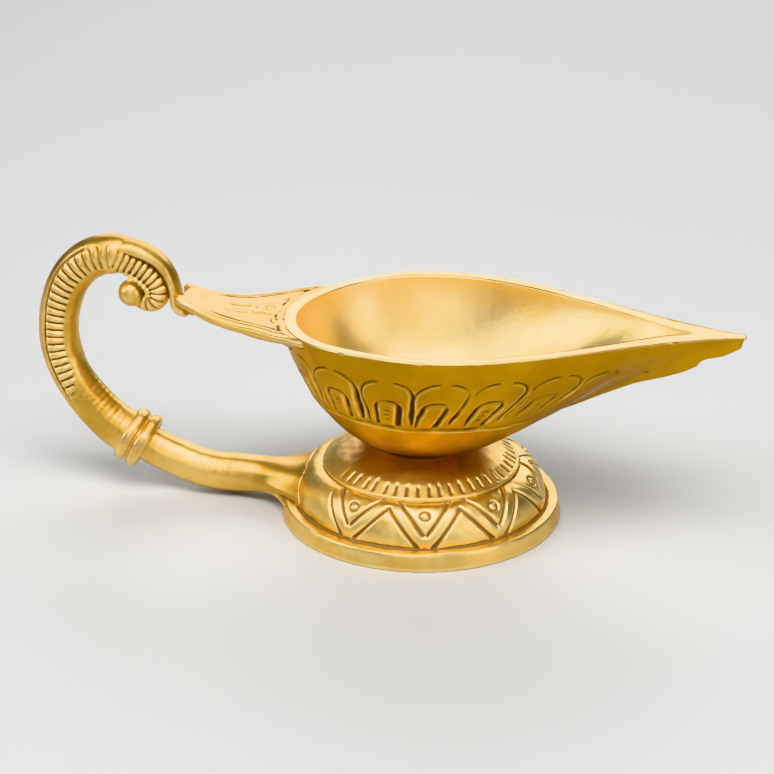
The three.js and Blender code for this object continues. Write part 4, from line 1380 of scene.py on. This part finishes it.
    def spineSection(distance, along, angle):
        thin = float(smoothStep(along, 0.22, 0.72))
        ends = math.sqrt(max(0.05, min(1, (spineLength - distance) / 1.2)))
        where = np.stack([distance + 0 * angle, 3 * np.cos(angle), 3 * np.sin(angle)], 1)
        lump = 0.05 * handWobble(where, 5, 73)
        wide = mix(size["spineHalfWidth"] + 0.6, 2.0 * size["strandRadius"], thin)
        thick = mix(size["spineRadius"], size["strandRadius"] + 0.1, thin)
        return wide * ends + lump, thick * ends + lump

    parts.append(ringSkin(bar(line, 60, spineSection)))

    def ballSkin(centre, radius, squash=1.0):
        rings = []
        for polar in np.linspace(0.12, math.pi - 0.12, 24):
            at = np.arange(40) * 2 * math.pi / 40
            ring = np.stack([np.cos(at) * math.sin(polar), math.cos(polar) + 0 * at, np.sin(at) * math.sin(polar)], 1)
            rings.append(ring * radius * np.array([1, squash, 1]) + np.asarray(centre))
        return ringSkin(rings)

    parts.append(ballSkin((ballAt[0], 0, ballAt[1]), size["ballRadius"], 1.05))
    trunk, _ = evenly(np.concatenate([bezier(down, share), bezier(around, share)[1:]]), 200)
    for step in np.linspace(0.20, 0.66, size["beads"]):  # small beads along the curl's inner edge, on both faces
        k = int(step * 199)
        way = trunk[k + 1] - trunk[k - 1]
        way /= np.linalg.norm(way)
        spot = trunk[k] + np.array([way[1], -way[0]]) * size["curlRadius"] * mix(0.95, 0.6, step)
        for y in (-1, 1):
            parts.append(ballSkin((spot[0], y * size["curlRadius"] * 0.95, spot[1]), size["beadRadius"]))

    scroll = joined("loop_and_scroll", parts)
    fuse(scroll, size["voxel"])
    relax(scroll, 2, 0.5)
    points, _ = meshArrays(scroll.data)
    points = np.clip(points, np.array(scrollLow) + 1e-6, np.array(scrollHigh) - 1e-6)
    scroll.data.vertices.foreach_set("co", points.ravel())
    scroll.data.update()
    storeWearAndShade(scroll, 9, 70)
    return scroll


handleLook = dict(brassLook, light=(0.96, 0.67, 0.22), deep=(0.66, 0.39, 0.08), rubAmount=0.9, tarnishAmount=0.45)
handleBrass = makeMetal("handleBrass", handleLook)
finish(makeArm(), handleBrass, "handle_brass", "handle_arm")
finish(makeCollar(), handleBrass, "handle_brass", "handle_collar")
finish(makeScroll(), handleBrass, "handle_brass", "handle_scroll")


# Fasteners keep their CAD shapes, with softened edges
steelLook = dict(
    brassLook,
    light=(0.62, 0.62, 0.63), deep=(0.48, 0.48, 0.50), tarnish=(0.30, 0.24, 0.19), rubbed=(0.8, 0.8, 0.8),
    cloudScale=180.0, tarnishAmount=0.5, dull=0.5, bright=0.34, grainScale=1500.0,
)
fastenerEdge = 0.18
steel = makeMetal("plainSteel", steelLook)
for name in ("collar_stud", "bowl_bolt", "bolt_washer", "arm_screw", "tang_pin"):
    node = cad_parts[name]
    node.data.materials.clear()
    node.data.materials.append(handleBrass if name == "tang_pin" else steel)
    bevel = node.modifiers.new("softEdges", "BEVEL")
    bevel.width = fastenerEdge * mm
    bevel.segments = 2
    bevel.limit_method = "ANGLE"
print("fasteners finished")


# Floor, lights and surroundings
stageLook = {
    "floorSize": 30.0,
    "floorColour": (0.52, 0.53, 0.54),
    "floorShade": 0.96,  # the darker of the floor's two tones, as a share of the paler
    "worldColour": (0.62, 0.65, 0.70),
    "worldStrength": 0.24,
    "aim": (0, 0, 0.035),
}
studioLights = {  # place, width and depth, watts, colour
    "overhead": ((0.05, -0.35, 0.85), (0.8, 0.5), 10, (1.0, 0.97, 0.92)),
    "back": ((-0.05, 1.0, 0.6), (1.2, 0.6), 8, (1.0, 0.98, 0.95)),
    "front": ((0.1, -1.1, 0.45), (0.9, 0.5), 2.2, (1.0, 0.97, 0.92)),
    "left": ((-0.8, -0.3, 0.5), (0.35, 0.5), 3, (0.93, 0.96, 1.0)),
    "right": ((0.9, -0.5, 0.35), (0.3, 0.5), 2, (1.0, 0.95, 0.88)),
}


def makeFloor():
    half = stageLook["floorSize"] / 2
    mesh = bpy.data.meshes.new("floor")
    mesh.from_pydata([(-half, -half, 0), (half, -half, 0), (half, half, 0), (-half, half, 0)], [], [(0, 1, 2, 3)])
    floor = bpy.data.objects.new("floor", mesh)
    scene.collection.objects.link(floor)
    material = bpy.data.materials.new("paleFloor")
    material.use_nodes = True
    tree = material.node_tree
    shader = tree.nodes["Principled BSDF"]
    at = addNode(tree, "TexCoord").outputs["Object"]
    pale = rgb(stageLook["floorColour"])
    darker = rgb([c * stageLook["floorShade"] for c in stageLook["floorColour"]])
    tree.links.new(mixColour(tree, noiseNode(tree, at, 3.0), pale, darker), shader.inputs["Base Color"])
    shader.inputs["Roughness"].default_value = 0.6
    mesh.materials.append(material)


def makeLight(name, place, size, watts, colour):
    light = bpy.data.lights.new(name, "AREA")
    light.shape = "RECTANGLE"
    light.size, light.size_y = size
    light.energy = watts
    light.color = colour
    lamp = bpy.data.objects.new(name, light)
    lamp.location = place
    way = np.array(stageLook["aim"], float) - np.array(place, float)
    lamp.rotation_euler = Vector(way).to_track_quat("-Z", "Y").to_euler()
    scene.collection.objects.link(lamp)


makeFloor()
world = bpy.data.worlds.new("studio")
scene.world = world
world.use_nodes = True
background = world.node_tree.nodes["Background"]
background.inputs["Color"].default_value = rgb(stageLook["worldColour"])
background.inputs["Strength"].default_value = stageLook["worldStrength"]
for name, settings in studioLights.items():
    makeLight(name, *settings)
print("stage ready")
